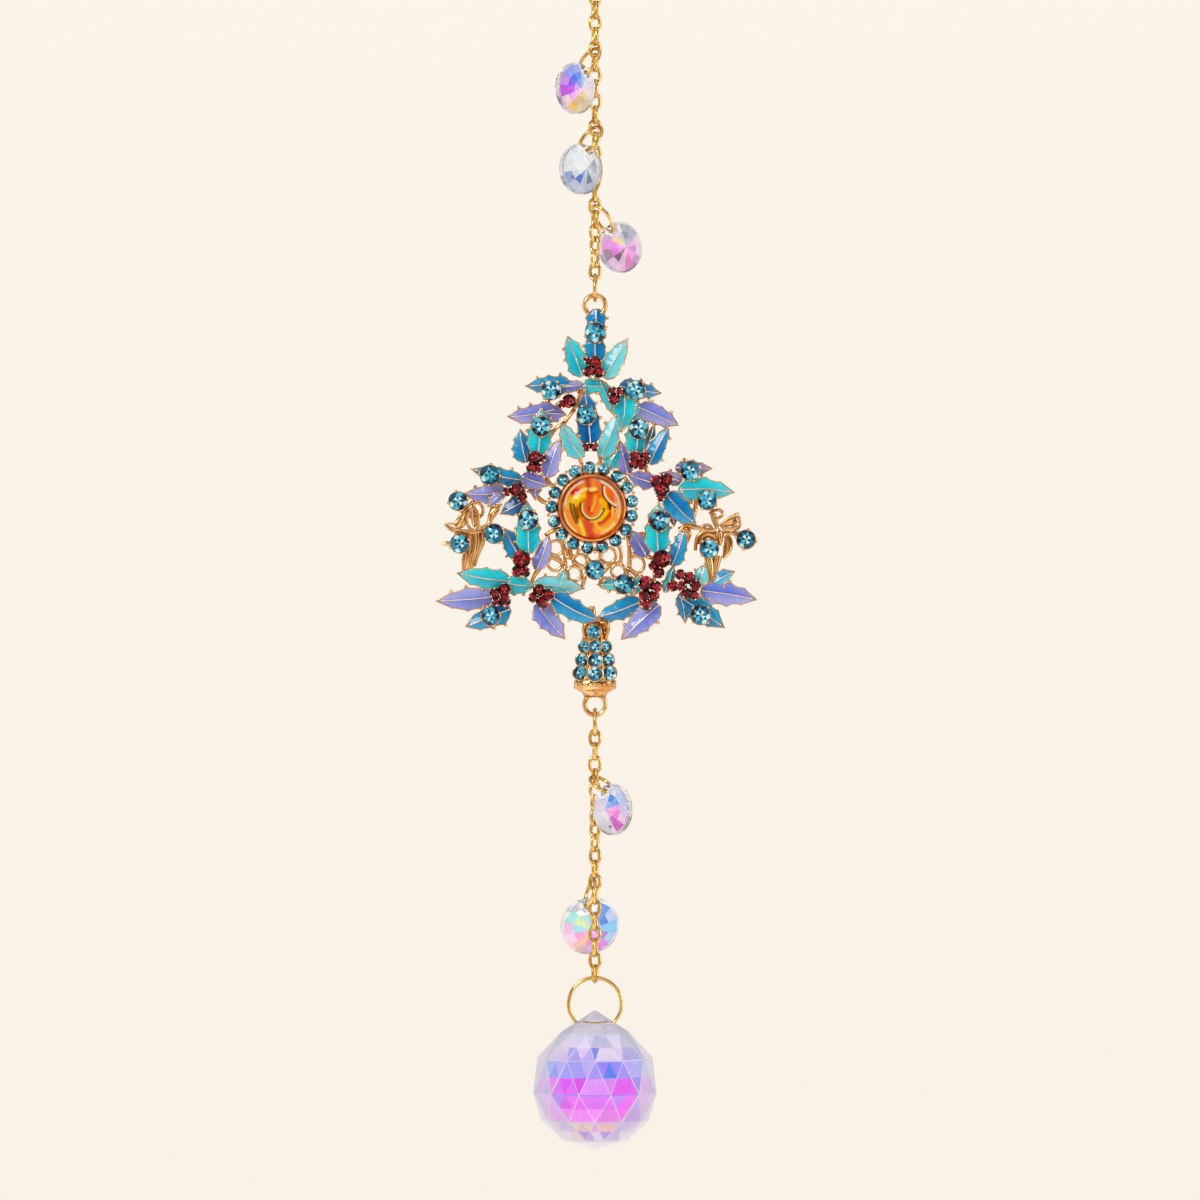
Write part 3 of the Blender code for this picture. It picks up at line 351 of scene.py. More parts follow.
# Swirls in the amber glass, among them painted highlights of the dome in white, cream and grey-lilac: colour, half
# width and points as shares of its radius, right and up
SWIRLS_AND_SHEEN = (
    ((250, 196, 0), 0.15, ((-0.86, 0.1), (-0.62, 0.36), (-0.35, 0.42), (-0.14, 0.5))),
    ((255, 226, 30), 0.06, ((-0.66, 0.2), (-0.45, 0.34), (-0.2, 0.4))),
    ((255, 214, 10), 0.09, ((-0.7, 0.05), (-0.5, 0.18), (-0.42, 0.3))),
    ((206, 62, 0), 0.11, ((-0.16, 0.98), (-0.12, 0.7), (-0.08, 0.46))),
    ((222, 78, 0), 0.13, ((-0.08, 0.4), (-0.1, 0.1), (-0.06, -0.15))),
    ((196, 52, 0), 0.05, ((-0.12, 0.02), (-0.07, -0.08))),
    ((240, 118, 0), 0.10, ((0.2, 0.8), (0.26, 0.5), (0.16, 0.2), (0.06, 0.0))),
    ((255, 190, 20), 0.04, ((0.12, 0.36), (0.08, 0.14), (-0.02, -0.1))),
    ((255, 200, 10), 0.09, ((0.3, 0.24), (0.42, 0.08), (0.36, -0.1))),
    ((214, 66, 0), 0.17, ((-0.14, -0.5), (-0.1, -0.72), (-0.04, -0.92))),
    ((206, 70, 0), 0.11, ((0.24, -0.52), (0.42, -0.38), (0.56, -0.2))),
    ((255, 214, 10), 0.07, ((0.0, -0.42), (0.3, -0.36), (0.5, -0.12))),
    ((252, 170, 0), 0.12, ((0.15, -0.72), (0.45, -0.66), (0.72, -0.4))),
    ((255, 206, 30), 0.045, ((0.1, -0.46), (0.22, -0.66), (0.5, -0.72), (0.72, -0.5))),
    ((255, 228, 20), 0.065, ((-0.44, -0.42), (-0.34, -0.64), (-0.26, -0.9))),
    ((116, 76, 0), 0.045, ((-0.72, 0.14), (-0.66, -0.16), (-0.52, -0.5))),
    ((104, 70, 0), 0.04, ((-0.62, 0.12), (-0.56, -0.14), (-0.46, -0.46))),
    ((150, 100, 0), 0.05, ((-0.5, -0.02), (-0.44, -0.3))),
    ((216, 20, 16), 0.10, ((-0.64, 0.5), (-0.5, 0.56))),
    ((255, 244, 170), 0.06, ((-0.34, 0.56), (-0.2, 0.62))),
    ((255, 240, 140), 0.07, ((-0.04, 0.6), (0.1, 0.61))),
    ((196, 60, 0), 0.035, ((-0.1, 0.5), (0.04, 0.48), (0.18, 0.54))),
    ((240, 112, 20), 0.09, ((0.48, 0.62), (0.62, 0.46), (0.74, 0.26))),
    ((112, 40, 0), 0.06, ((0.56, 0.12), (0.6, -0.02))),
    ((255, 226, 130), 0.03, ((0.68, 0.1), (0.67, -0.24))),
    ((56, 60, 20), 0.055, ((-0.37, 0.14), (-0.36, -0.08), (-0.25, -0.28), (-0.02, -0.38), (0.22, -0.29),
     (0.38, -0.05))),
    ((246, 242, 170), 0.028, ((-0.32, 0.14), (-0.32, -0.08), (-0.21, -0.26), (-0.02, -0.35), (0.2, -0.27),
     (0.34, -0.07))),
    ((40, 24, 10), 0.05, ((0.36, 0.72), (0.38, 0.44), (0.54, 0.2), (0.76, 0.04))),
    # Painted highlight: a white streak of the dome's reflection
    ((250, 248, 244), 0.032, ((0.4, 0.7), (0.42, 0.44), (0.57, 0.22), (0.78, 0.08))),
    # Painted reflections of the dome near its rim: the grey-lilac and cream strokes below
    ((168, 150, 184), 0.075, ((-0.98, 0.0), (-0.9, 0.38), (-0.68, 0.7), (-0.3, 0.93))),
    ((250, 240, 230), 0.03, ((-0.9, 0.1), (-0.8, 0.44), (-0.56, 0.72), (-0.3, 0.86))),
    ((150, 70, 60), 0.03, ((-0.95, 0.2), (-0.8, 0.56), (-0.5, 0.84))),
    ((176, 160, 190), 0.05, ((0.1, 0.95), (0.5, 0.82), (0.82, 0.5), (0.95, 0.1))),
    ((255, 246, 226), 0.028, ((0.28, 0.88), (0.6, 0.68), (0.82, 0.36), (0.9, 0.0), (0.84, -0.34))),
    ((250, 190, 90), 0.04, ((0.95, 0.0), (0.9, -0.36), (0.66, -0.7))),
    ((255, 236, 200), 0.03, ((0.74, -0.5), (0.5, -0.74), (0.3, -0.84))),
    ((255, 240, 210), 0.035, ((-0.93, -0.14), (-0.8, -0.5), (-0.52, -0.8))),
    ((196, 90, 30), 0.03, ((-0.97, -0.1), (-0.86, -0.5), (-0.56, -0.82), (-0.2, -0.98))),
)

# Large blue stones: u, v, radius
STONES = (
    (0.1, 42.0, 2.5),
    (-10.6, 28.2, 2.4),
    (9.7, 28.2, 2.4),
    (-2.1, 22.2, 2.3),
    (-12.9, 19.5, 2.4),
    (10.5, 18.9, 2.4),
    (22.8, 8.9, 2.4),
    (-25.2, 7.9, 2.4),
    (-32.8, 1.6, 2.3),
    (26.9, 1.8, 2.3),
    (-32.4, -8.6, 2.3),
    (-24.2, -6.2, 2.4),
    (-16.0, -2.9, 2.4),
    (15.4, -3.2, 2.4),
    (27.4, -9.8, 2.3),
    (36.2, -7.6, 2.3),
    (0.0, -14.9, 2.3),
    (6.9, -18.3, 2.4),
    (-25.0, -26.0, 2.3),
    (25.3, -25.7, 2.4),
)

# Berry clusters: u, v, radius of each berry
BERRIES = (
    ((-1.9, 35.4, 0.9), (0.0, 34.8, 1.7), (-1.5, 32.7, 1.4), (0.8, 32.5, 1.4)),
    ((-6.2, 25.6, 1.7), (-8.0, 24.8, 1.0)),
    ((4.2, 28.0, 1.1), (5.9, 27.9, 1.1), (4.6, 26.0, 1.4)),
    ((-2.0, 14.6, 1.1), (-0.2, 14.6, 1.1)),
    ((-14.5, 12.0, 1.7), (-12.6, 12.0, 1.0), (-15.2, 9.6, 1.3), (-13.8, 9.5, 1.2)),
    ((9.6, 12.3, 1.4), (12.1, 12.5, 1.2), (9.3, 10.5, 1.3), (11.2, 10.6, 1.5)),
    ((-21.0, 3.9, 1.1), (-18.6, 4.3, 1.8), (-17.5, 2.5, 1.3)),
    ((14.8, 6.3, 1.6), (17.2, 6.8, 1.6), (16.0, 4.5, 1.9), (15.8, 2.6, 1.1)),
    ((-17.6, -12.3, 2.2), (-18.5, -15.2, 1.5), (-16.8, -15.4, 1.3)),
    ((-23.9, -20.5, 1.4), (-21.7, -19.6, 1.6), (-23.7, -22.5, 1.1), (-21.6, -22.2, 1.5)),
    ((-13.4, -19.7, 1.5), (-11.2, -20.8, 1.5), (-14.7, -21.5, 1.3), (-12.6, -22.7, 1.5)),
    ((16.0, -12.2, 2.2), (14.0, -13.8, 1.2), (15.3, -15.5, 1.4)),
    ((12.2, -18.1, 1.8), (14.7, -18.9, 1.4), (12.0, -21.0, 1.5), (14.1, -21.2, 1.4), (12.3, -23.3, 1.3)),
    ((20.5, -16.0, 1.3), (22.7, -16.8, 1.5), (24.1, -18.6, 1.4), (23.8, -20.9, 1.3), (22.0, -20.5, 1.3),
     (20.8, -18.8, 1.3), (18.6, -18.7, 1.4)),
)

# Trunk: v and half width of each section from the leaves down, and its stones as u, v, radius, reach forward
TRUNK = (
    (-26.4, 2.5),
    (-28.5, 2.5),
    (-31.0, 2.8),
    (-34.5, 3.4),
    (-38.0, 4.1),
    (-41.2, 4.7),
    (-41.5, 5.1),
    (-43.3, 5.1),
    (-43.7, 4.2),
    (-44.4, 3.0),
    (-45.4, 2.6),
)
TRUNK_DEPTH = 4.2
TRUNK_FOOT = 5.1
TRUNK_STONES = (
    (-0.2, -29.7, 1.6, 3.9),
    (-2.6, -33.3, 1.4, 3.3),
    (0.0, -33.3, 1.6, 4.4),
    (2.6, -33.3, 1.4, 3.3),
    (-3.1, -36.5, 1.55, 3.5),
    (0.0, -36.6, 1.7, 4.8),
    (3.1, -36.5, 1.55, 3.5),
    (-3.6, -39.6, 1.65, 3.7),
    (0.0, -39.8, 1.75, 5.2),
    (3.6, -39.6, 1.65, 3.7),
)

# Glass discs: name, chain, link, x and y, drop from the link, diameter, face, lean, tip forward, glass colours
# and the width of the jump ring as a share of its length
DISCS = (
    ("disc_1", "upper", 10, -4.6, -5.8, 9.5, DISC_SMALL, 45, 36, 0, "vivid", 0.7),
    ("disc_2", "upper", 16, -3.3, -5.2, 9.9, DISC_SMALL, 38, 20, 0, "clear", 0.9),
    ("disc_3", "upper", 22, 5.9, 3.6, 9.4, DISC_SMALL, 37, -38, 0, "rose", 0.75),
    ("disc_4", "lower", 3, 4.1, -5.6, 7.3, DISC_SMALL, -45, -22, 0, "lake", 0.85),
    ("disc_5", "lower", 11, -1.2, 4.6, 10.4, DISC_LARGE, 8, -16, 20, "wheel", 1.0),
)

# Colours, as sRGB from 0 to 255, of each enamel: the half with painted shade, the lit half, and the pale painted
# highlight on the tip and in streaks along the veins
ENAMELS_WITH_PAINTED_LIGHT = {
    "cerulean": ((0, 114, 184), (16, 160, 216), (100, 208, 240)),
    "deep": ((0, 82, 152), (6, 122, 194), (70, 178, 226)),
    "sky": ((20, 146, 210), (84, 200, 234), (160, 228, 242)),
    "turquoise": ((0, 174, 202), (34, 220, 232), (140, 243, 246)),
    "aqua": ((66, 194, 212), (126, 226, 236), (192, 242, 244)),
    "lilac": ((106, 122, 216), (166, 172, 236), (218, 198, 234)),
    "orchid": ((92, 116, 220), (162, 168, 234), (224, 192, 228)),
    "violet": ((92, 100, 190), (140, 142, 214), (190, 178, 228)),
}
# Stone colours from darkest to palest: the stone's own colour, with painted shade in the dark tones and painted glints
# in the pale ones
TEAL_AND_GLINTS = ((0, 34, 54), (2, 72, 104), (18, 124, 160), (76, 188, 214), (190, 242, 248))
RUBY_AND_GLINTS = ((14, 0, 2), (42, 0, 4), (78, 0, 8), (120, 2, 14), (210, 42, 54))
# Coating of each disc's wedges, clockwise from its hole, and of the facets around them
GLASS = {
    "vivid": ((225, 225, 250), (240, 190, 240), (250, 225, 245), (255, 226, 120), (255, 205, 70), (250, 200, 150),
              (225, 60, 240), (200, 30, 240), (120, 70, 245), (60, 110, 250), (30, 130, 255), (80, 190, 255)),
    "clear": ((236, 240, 246), (90, 112, 150), (128, 150, 186), (186, 204, 226), (96, 120, 160), (206, 216, 232),
              (70, 130, 225), (226, 232, 240), (246, 248, 252), (242, 246, 252), (232, 238, 246), (246, 248, 252)),
    "rose": ((206, 206, 220), (120, 130, 170), (160, 170, 200), (240, 150, 220), (200, 40, 220), (245, 120, 220),
             (250, 130, 210), (240, 200, 245), (120, 40, 90), (245, 110, 240), (240, 120, 245), (255, 214, 130)),
    "lake": ((200, 205, 245), (40, 120, 230), (60, 150, 240), (250, 130, 235), (240, 90, 220), (215, 60, 200),
             (230, 215, 235), (210, 210, 222), (222, 220, 230), (206, 200, 222), (230, 170, 225), (170, 190, 245)),
    "wheel": ((186, 196, 216), (60, 140, 240), (50, 130, 235), (110, 200, 250), (150, 80, 225), (235, 120, 240),
              (245, 140, 235), (250, 190, 160), (250, 150, 225), (150, 235, 245), (220, 245, 150), (170, 235, 225)),
}
# Coating of the ball: the lowest latitude of each band and its colours
BALL_BANDS = (
    (42, ((238, 238, 241), (247, 247, 248), (200, 202, 212), (226, 226, 232), (212, 213, 220),
     (232, 228, 240))),
    (27, ((166, 166, 238), (218, 218, 236), (234, 234, 239), (90, 132, 226), (216, 216, 228),
     (243, 243, 245), (184, 184, 240))),
    (10, ((158, 160, 255), (174, 180, 252), (150, 172, 252), (148, 148, 252), (204, 204, 250),
     (74, 144, 238))),
    (-6, ((226, 84, 245), (186, 84, 235), (96, 112, 240), (228, 160, 250), (222, 120, 245), (240, 96, 245))),
    (-20, ((244, 112, 245), (238, 104, 242), (226, 120, 245), (190, 144, 250), (248, 124, 245))),
    (-33, ((246, 120, 245), (250, 110, 235), (240, 136, 250), (206, 130, 246), (250, 150, 240),
     (252, 158, 250))),
    (-47, ((255, 186, 146), (255, 150, 186), (250, 240, 170), (176, 100, 225), (250, 140, 230),
     (255, 196, 160))),
    (-60, ((250, 120, 186), (255, 196, 164), (156, 92, 220), (240, 228, 240), (250, 186, 144))),
    (-90, ((216, 215, 224), (234, 233, 238), (202, 200, 214))),
)
# Tints of the ball's glass, and of the pale borders of its coating's facets, painted glints along the facet edges
BALL_GLASS = ((238, 240, 246), (246, 247, 250), (251, 251, 252), (228, 231, 240), (250, 246, 250))
BALL_EDGE_GLINT = (232, 230, 244)
BALL_WAIST_LINE = (104, 146, 240)
# Painted dark reflections, small dark spots in the glass: place clockwise from the hole, in wedges, and share of the
# radius
DARK_REFLECTION_SPOTS = {"disc_2": (7.3, 0.64), "disc_4": (6.5, 0.66)}
WHITE = (1, 1, 1)


def linear(colour):
    """An sRGB colour from 0 to 255 as a linear one from 0 to 1."""
    levels = [c / 255 for c in colour]
    return tuple(c / 12.92 if c <= 0.04045 else ((c + 0.055) / 1.055) ** 2.4 for c in levels)


def mix(first, second, share):
    return tuple(a + (b - a) * share for a, b in zip(first, second))


def between(keys, at):
    """The value at a place, from (place, value) pairs joined by straight lines."""
    for (a, first), (b, second) in zip(keys, keys[1:]):
        if at <= b:
            return first + (second - first) * (at - a) / (b - a)
    return keys[-1][1]


# Materials

def new_material(name):
    made = bpy.data.materials.new(name)
    made.use_nodes = True
    return made, made.node_tree.nodes, made.node_tree.links, made.node_tree.nodes["Principled BSDF"]


def noise(nodes, links, scale, detail=3.0, distortion=0.0):
    place = nodes.new("ShaderNodeTexCoord")
    made = nodes.new("ShaderNodeTexNoise")
    made.inputs["Scale"].default_value = scale
    made.inputs["Detail"].default_value = detail
    made.inputs["Distortion"].default_value = distortion
    links.new(place.outputs["Object"], made.inputs["Vector"])
    return made


def mix_colour(nodes, links, share, first, second, blend="MIX"):
    """A mix node: share, first and second are sockets, numbers or colours."""
    made = nodes.new("ShaderNodeMix")
    made.data_type = "RGBA"
    made.blend_type = blend
    for socket, value in ((made.inputs[0], share), (made.inputs[6], first), (made.inputs[7], second)):
        if isinstance(value, bpy.types.NodeSocket):
            links.new(value, socket)
        elif isinstance(value, (int, float)):
            socket.default_value = value
        else:
            socket.default_value = (*value, 1)
    return made.outputs[2]


def ramp(nodes, links, value, stops):
    made = nodes.new("ShaderNodeValToRGB")
    elements = made.color_ramp.elements
    elements[0].position, elements[1].position = stops[0][0], stops[-1][0]
    elements[0].color, elements[1].color = (*stops[0][1], 1), (*stops[-1][1], 1)
    for place, colour in stops[1:-1]:
        elements.new(place).color = (*colour, 1)
    links.new(value, made.inputs["Fac"])
    return made.outputs["Color"]


def level_ramp(nodes, links, value, stops):
    """A ramp of greys from (place, level) stops."""
    return ramp(nodes, links, value, [(place, (level,) * 3) for place, level in stops])

def facing(nodes, blend):
    """How far a surface turns away from the view: 0 seen straight on, 1 at its edge."""
    made = nodes.new("ShaderNodeLayerWeight")
    made.inputs["Blend"].default_value = blend
    return made.outputs["Facing"]

def bump(nodes, links, shader, height, strength, distance):
    made = nodes.new("ShaderNodeBump")
    made.inputs["Strength"].default_value = strength
    made.inputs["Distance"].default_value = distance
    links.new(height, made.inputs["Height"])
    links.new(made.outputs["Normal"], shader.inputs["Normal"])


def gold_material(name, light, deep, shade, roughness):
    """Plated metal with faint clouding in its colour and polish, and painted shade: the shade colour mixed in towards
    its edges as the surface turns from the view.
    """
    made, nodes, links, shader = new_material(name)
    clouds = noise(nodes, links, 260, 2)
    colour = ramp(nodes, links, clouds.outputs["Fac"], ((0.35, linear(deep)), (0.65, linear(light))))
    # Painted shade: darker brown towards the edges as seen from the view
    edge = level_ramp(nodes, links, facing(nodes, 0.35), ((0.35, 0), (0.8, 0.9)))
    links.new(mix_colour(nodes, links, edge, colour, linear(shade)), shader.inputs["Base Color"])
    polish = level_ramp(nodes, links, clouds.outputs["Fac"], ((0.3, roughness * 1.5), (0.7, roughness * 0.7)))
    links.new(polish, shader.inputs["Roughness"])
    shader.inputs["Metallic"].default_value = 1.0
    bump(nodes, links, shader, clouds.outputs["Fac"], 0.1, 0.0001)
    return made


def tinted_material(name, roughness, variation, coat=0.0, metallic=0.0, ior=1.5):
    """A glossy finish whose colour is the mesh's tint, slightly clouded; that tint holds painted light and shade too on
    the enamel, stones, ball coating and amber swirls.
    """
    made, nodes, links, shader = new_material(name)
    tint = nodes.new("ShaderNodeVertexColor")
    tint.layer_name = "tint"
    clouds = noise(nodes, links, 650, 3, 0.6)
    shade = level_ramp(nodes, links, clouds.outputs["Fac"], ((0.3, 1 - variation), (0.7, 1)))
    toned_base = mix_colour(nodes, links, 1.0, tint.outputs["Color"], shade, "MULTIPLY")
    links.new(toned_base, shader.inputs["Base Color"])
    polish = level_ramp(nodes, links, clouds.outputs["Fac"], ((0.3, roughness * 0.7), (0.7, roughness * 1.4)))
    links.new(polish, shader.inputs["Roughness"])
    shader.inputs["Metallic"].default_value = metallic
    shader.inputs["IOR"].default_value = ior
    shader.inputs["Coat Weight"].default_value = coat
    shader.inputs["Coat Roughness"].default_value = 0.04
    return made


def crystal_material():
    """Clear cut glass with the faint tint of each facet."""
    made = tinted_material("clear_crystal", 0.008, 0.03, ior=1.52)
    shader = made.node_tree.nodes["Principled BSDF"]
    shader.inputs["Transmission Weight"].default_value = 1.0
    return made


def coating_material(name, fade):
    """The coloured coating that shows in the glass, with a painted glow of its own colour, and paler where it is seen
    from the side, a painted reflection of the glass at its rim.
    """
    made = tinted_material(name, 0.2, 0.06, ior=1.05)
    nodes, links = made.node_tree.nodes, made.node_tree.links
    shader = nodes["Principled BSDF"]
    source = shader.inputs["Base Color"].links[0].from_socket
    # Painted reflection: grey-white mixed in towards grazing angles
    edge = level_ramp(nodes, links, facing(nodes, 0.5), fade)
    colour = mix_colour(nodes, links, edge, source, linear((212, 212, 218)))
    links.new(colour, shader.inputs["Base Color"])
    # Painted glow: the coating gives off its own colour as light
    links.new(colour, shader.inputs["Emission Color"])
    shader.inputs["Emission Strength"].default_value = 0.3
    shader.inputs["Transmission Weight"].default_value = 0.4
    return made


def amber_material():
    """The swirled amber glass, with a painted glow: its own colours given off as light, standing in for light through
    it from behind.
    """
    made = tinted_material("amber_swirl_glow", 0.4, 0.06, ior=1.1)
    shader = made.node_tree.nodes["Principled BSDF"]
    tinted_by = shader.inputs["Base Color"].links[0].from_socket
    # Painted glow: the swirl colours given off as light
    made.node_tree.links.new(tinted_by, shader.inputs["Emission Color"])
    shader.inputs["Emission Strength"].default_value = 0.3
    return made


def dome_material():
    """Clear amber glass over the swirls."""
    made, nodes, links, shader = new_material("amber_dome")
    clouds = noise(nodes, links, 300, 2)
    colour = ramp(
        nodes, links, clouds.outputs["Fac"], ((0.3, linear((255, 226, 160))), (0.7, linear((255, 238, 190))))
    )
    links.new(colour, shader.inputs["Base Color"])
    shader.inputs["Roughness"].default_value = 0.0
    shader.inputs["IOR"].default_value = 1.4
    shader.inputs["Transmission Weight"].default_value = 1.0
    return made


# Meshes

def new_object(name, points, faces):
    """A linked object with a mesh of points in metres."""
    mesh = bpy.data.meshes.new(name)
    mesh.from_pydata(points, [], faces)
    made = bpy.data.objects.new(name, mesh)
    bpy.context.scene.collection.objects.link(made)
    return made

class Batch:
    """Vertices and faces of one piece, in millimetres, each face with its material and corner colours."""

    def __init__(self):
        self.points, self.faces, self.tints, self.slots, self.smooth = [], [], [], [], []

    def add(self, points, faces, tints=(1, 1, 1), slot=0, smooth=True):
        start = len(self.points)
        self.points += points
        for k, face in enumerate(faces):
            self.faces.append([start + i for i in face])
            tint = tints[k] if isinstance(tints, list) else tints
            self.tints += tint if isinstance(tint, list) else [tint] * len(face)
            self.slots.append(slot)
            self.smooth.append(smooth)

    def shape(self, name):
        return new_object(name, [p * MM for p in self.points], self.faces)

    def build(self, name, materials, nodes=()):
        """Makes the piece with the given finishes, and hides the parts of the model that it stands for."""
        piece = self.shape(name)
        mesh = piece.data
        for made in materials:
            mesh.materials.append(made)
        mesh.polygons.foreach_set("material_index", self.slots)
        mesh.polygons.foreach_set("use_smooth", self.smooth)
        tint = mesh.color_attributes.new("tint", "FLOAT_COLOR", "CORNER")
        tint.data.foreach_set("color", [c for colour in self.tints for c in (*colour, 1.0)])
        mesh.update()
        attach(piece, ROW_BODY)
        if nodes:
            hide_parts(*nodes)
        return piece


def around(angle):
    """The direction at an angle from the right, in the plane of the pendant."""
    return RIGHT * math.cos(angle) + UP * math.sin(angle)

def skin(count, sides, closed=False):
    """Faces that join rings of points one after the other, with a face at each end unless it is closed."""
    faces = []
    for k in range(count if closed else count - 1):
        after = (k + 1) % count
        for j in range(sides):
            beside = (j + 1) % sides
            faces.append((k * sides + j, k * sides + beside, after * sides + beside, after * sides + j))
    if not closed:
        faces.append(tuple(range(sides))[::-1])
        faces.append(tuple((count - 1) * sides + j for j in range(sides)))
    return faces

def turned(faces):
    """The same faces, looking the other way."""
    return [face[:1] + face[:0:-1] for face in faces]

def tube(batch, path, radius, sides=8, closed=False, slot=0):
    """A round wire along a path of points. radius is a number, or one for each point."""
    count = len(path)
    points = []
    normal = None
    for k in range(count):
        before = path[k - 1] if closed or k else path[0]
        after = path[(k + 1) % count] if closed or k < count - 1 else path[-1]
        along = (after - before).normalized()
        normal = along.orthogonal() if normal is None else normal
        normal = (normal - along * normal.dot(along)).normalized()
        other = along.cross(normal)
        wide = radius[k] if isinstance(radius, (list, tuple)) else radius
        for j in range(sides):
            angle = 2 * math.pi * j / sides
            points.append(path[k] + (normal * math.cos(angle) + other * math.sin(angle)) * wide)
    batch.add(points, skin(count, sides, closed), slot=slot)

def oval(batch, centre, along, across, half_length, half_width, wire, segments, sides):
    """A closed oval of wire in the plane of the directions along and across."""
    along, across = Vector(along).normalized(), Vector(across).normalized()
    normal = along.cross(across)
    points = []
    for k in range(segments):
        angle = 2 * math.pi * k / segments
        spot = centre + along * half_length * math.cos(angle) + across * half_width * math.sin(angle)
        outward = (along * half_width * math.cos(angle) + across * half_length * math.sin(angle)).normalized()
        for j in range(sides):
            turn = 2 * math.pi * j / sides
            points.append(spot + (outward * math.cos(turn) + normal * math.sin(turn)) * wire / 2)
    batch.add(points, turned(skin(segments, sides, closed=True)))

def smooth_path(points, steps):
    """Points on a smooth curve through the given ones; all their values are blended."""
    path = []
    last = len(points) - 1
    for k in range(last):
        a, b, c, d = points[max(k - 1, 0)], points[k], points[k + 1], points[min(k + 2, last)]
        for j in range(steps):
            t = j / steps
            path.append(
                tuple(
                    0.5 * (2 * q + (r - p) * t + (2 * p - 5 * q + 4 * r - z) * t * t + (3 * q - p - 3 * r + z) * t ** 3)
                    for p, q, r, z in zip(a, b, c, d)
                )
            )
    path.append(tuple(points[last]))
    return path


def stroke(batch, points, sides=10, steps=6):
    """A tapering stroke of metal through u, v, w with a half width across and a half depth at each point."""
    path = smooth_path(points, steps)
    spots = [at(*p[:3]) for p in path]
    made = []
    for k, spot in enumerate(spots):
        along = (spots[min(k + 1, len(spots) - 1)] - spots[max(k - 1, 0)]).normalized()
        aside = along.cross(FORWARD).normalized()
        outward = aside.cross(along).normalized()
        wide, deep = max(STROKE_THINNEST, path[k][3]) * GRID, max(STROKE_THINNEST, path[k][4])
        for j in range(sides):
            angle = 2 * math.pi * j / sides
            made.append(spot + aside * wide * math.cos(angle) + outward * deep * math.sin(angle))
    batch.add(made, skin(len(spots), sides))

def lathe(batch, centre, rings, sides=24, slot=0):
    """A solid turned about the forward direction: rings are (distance forward, radius), from the back."""
    points = [
        centre + FORWARD * distance + around(2 * math.pi * k / sides) * radius
        for distance, radius in rings
        for k in range(sides)
    ]
    batch.add(points, skin(len(rings), sides), slot=slot)

def bead(batch, centre, radius, slot=0, sides=10, rows=6):
    points, faces = [centre + UP * radius], []
    for i in range(1, rows):
        polar = math.pi * i / rows
        for k in range(sides):
            angle = 2 * math.pi * k / sides
            wide = radius * math.sin(polar)
            points.append(centre + Vector((wide * math.cos(angle), wide * math.sin(angle), radius * math.cos(polar))))
    points.append(centre - UP * radius)
    last = len(points) - 1
    for k in range(sides):
        beside = (k + 1) % sides
        faces.append((0, 1 + k, 1 + beside))
        for i in range(rows - 2):
            a, b = 1 + i * sides, 1 + (i + 1) * sides
            faces.append((a + k, b + k, b + beside, a + beside))
        a = 1 + (rows - 2) * sides
        faces.append((a + k, last, a + beside))
    batch.add(points, faces, slot=slot)


def cut_stone(batch, centre, radius, height, facet_tones_and_glints, dice, slot=0, count=8):
    """A round stone cut with a table, stars, kites and girdle facets, each tinted from the palette: the stone's own
    colour, with painted glints in its pale facets and painted shade in the dark ring at its girdle.
    """
    shades = [linear(c) for c in facet_tones_and_glints]
    spin = dice.uniform(0, 2 * math.pi / count)

    def ring(share, level, shift, many):
        step = 2 * math.pi / many
        middle = centre + FORWARD * height * level
        return [middle + around(spin + step * (k + shift)) * radius * share for k in range(many)]

    table = ring(0.5, 1.0, 0, count)
    middle = ring(0.85, 0.72, 0.5, count)
    girdle = ring(1.0, 0.3, 0, 2 * count)
    foot = ring(0.92, 0.0, 0, 2 * count)
    points = table + middle + girdle + foot + [centre + FORWARD * height * 1.02]
    a, b, c, d, hub = 0, count, 2 * count, 4 * count, 6 * count
    faces, tints = [], []

    def facet(face, low, high):
        faces.append(face)
        tints.append(shades[dice.randint(low, high)])

    for k in range(count):
        after = (k + 1) % count
        low, high = ((3, 4), (0, 2))[k % 2]
        facet((hub, a + after, a + k), low, high)
        facet((a + k, a + after, b + k), 1, 3)
        facet((a + k, b + k, c + 2 * k, b + (k - 1) % count), 0, 4)
        facet((b + k, c + 2 * k + 1, c + 2 * k), 0, 1)
        facet((b + k, c + (2 * k + 2) % (2 * count), c + 2 * k + 1), 0, 1)
    for k in range(2 * count):
        after = (k + 1) % (2 * count)
        facet((c + k, c + after, d + after, d + k), 0, 1)
    faces.append(tuple(d + k for k in range(2 * count)))
    tints.append(shades[0])
    batch.add(points, faces, tints, slot, smooth=False)


# Places down the chain

HANG_WIRE = HANG_RING_WIRE / 2
HANG_RADIUS = (HANG_RING_OUTER - HANG_RING_WIRE) / 2
LINK_HALF = (LINK_LENGTH - LINK_WIRE) / 2
LINK_PITCH = LINK_LENGTH - 2 * LINK_WIRE + LINK_BITE
CONNECTOR_RADIUS = (CONNECTOR_OUTER - CONNECTOR_WIRE) / 2
LOOP_RADIUS = LOOP_OUTER * GRID - LOOP_WIRE / 2


def hooked_on(lower_wire, upper_thickness, own_thickness):
    return lower_wire + (upper_thickness + own_thickness) / 2 + TOUCH_GAP


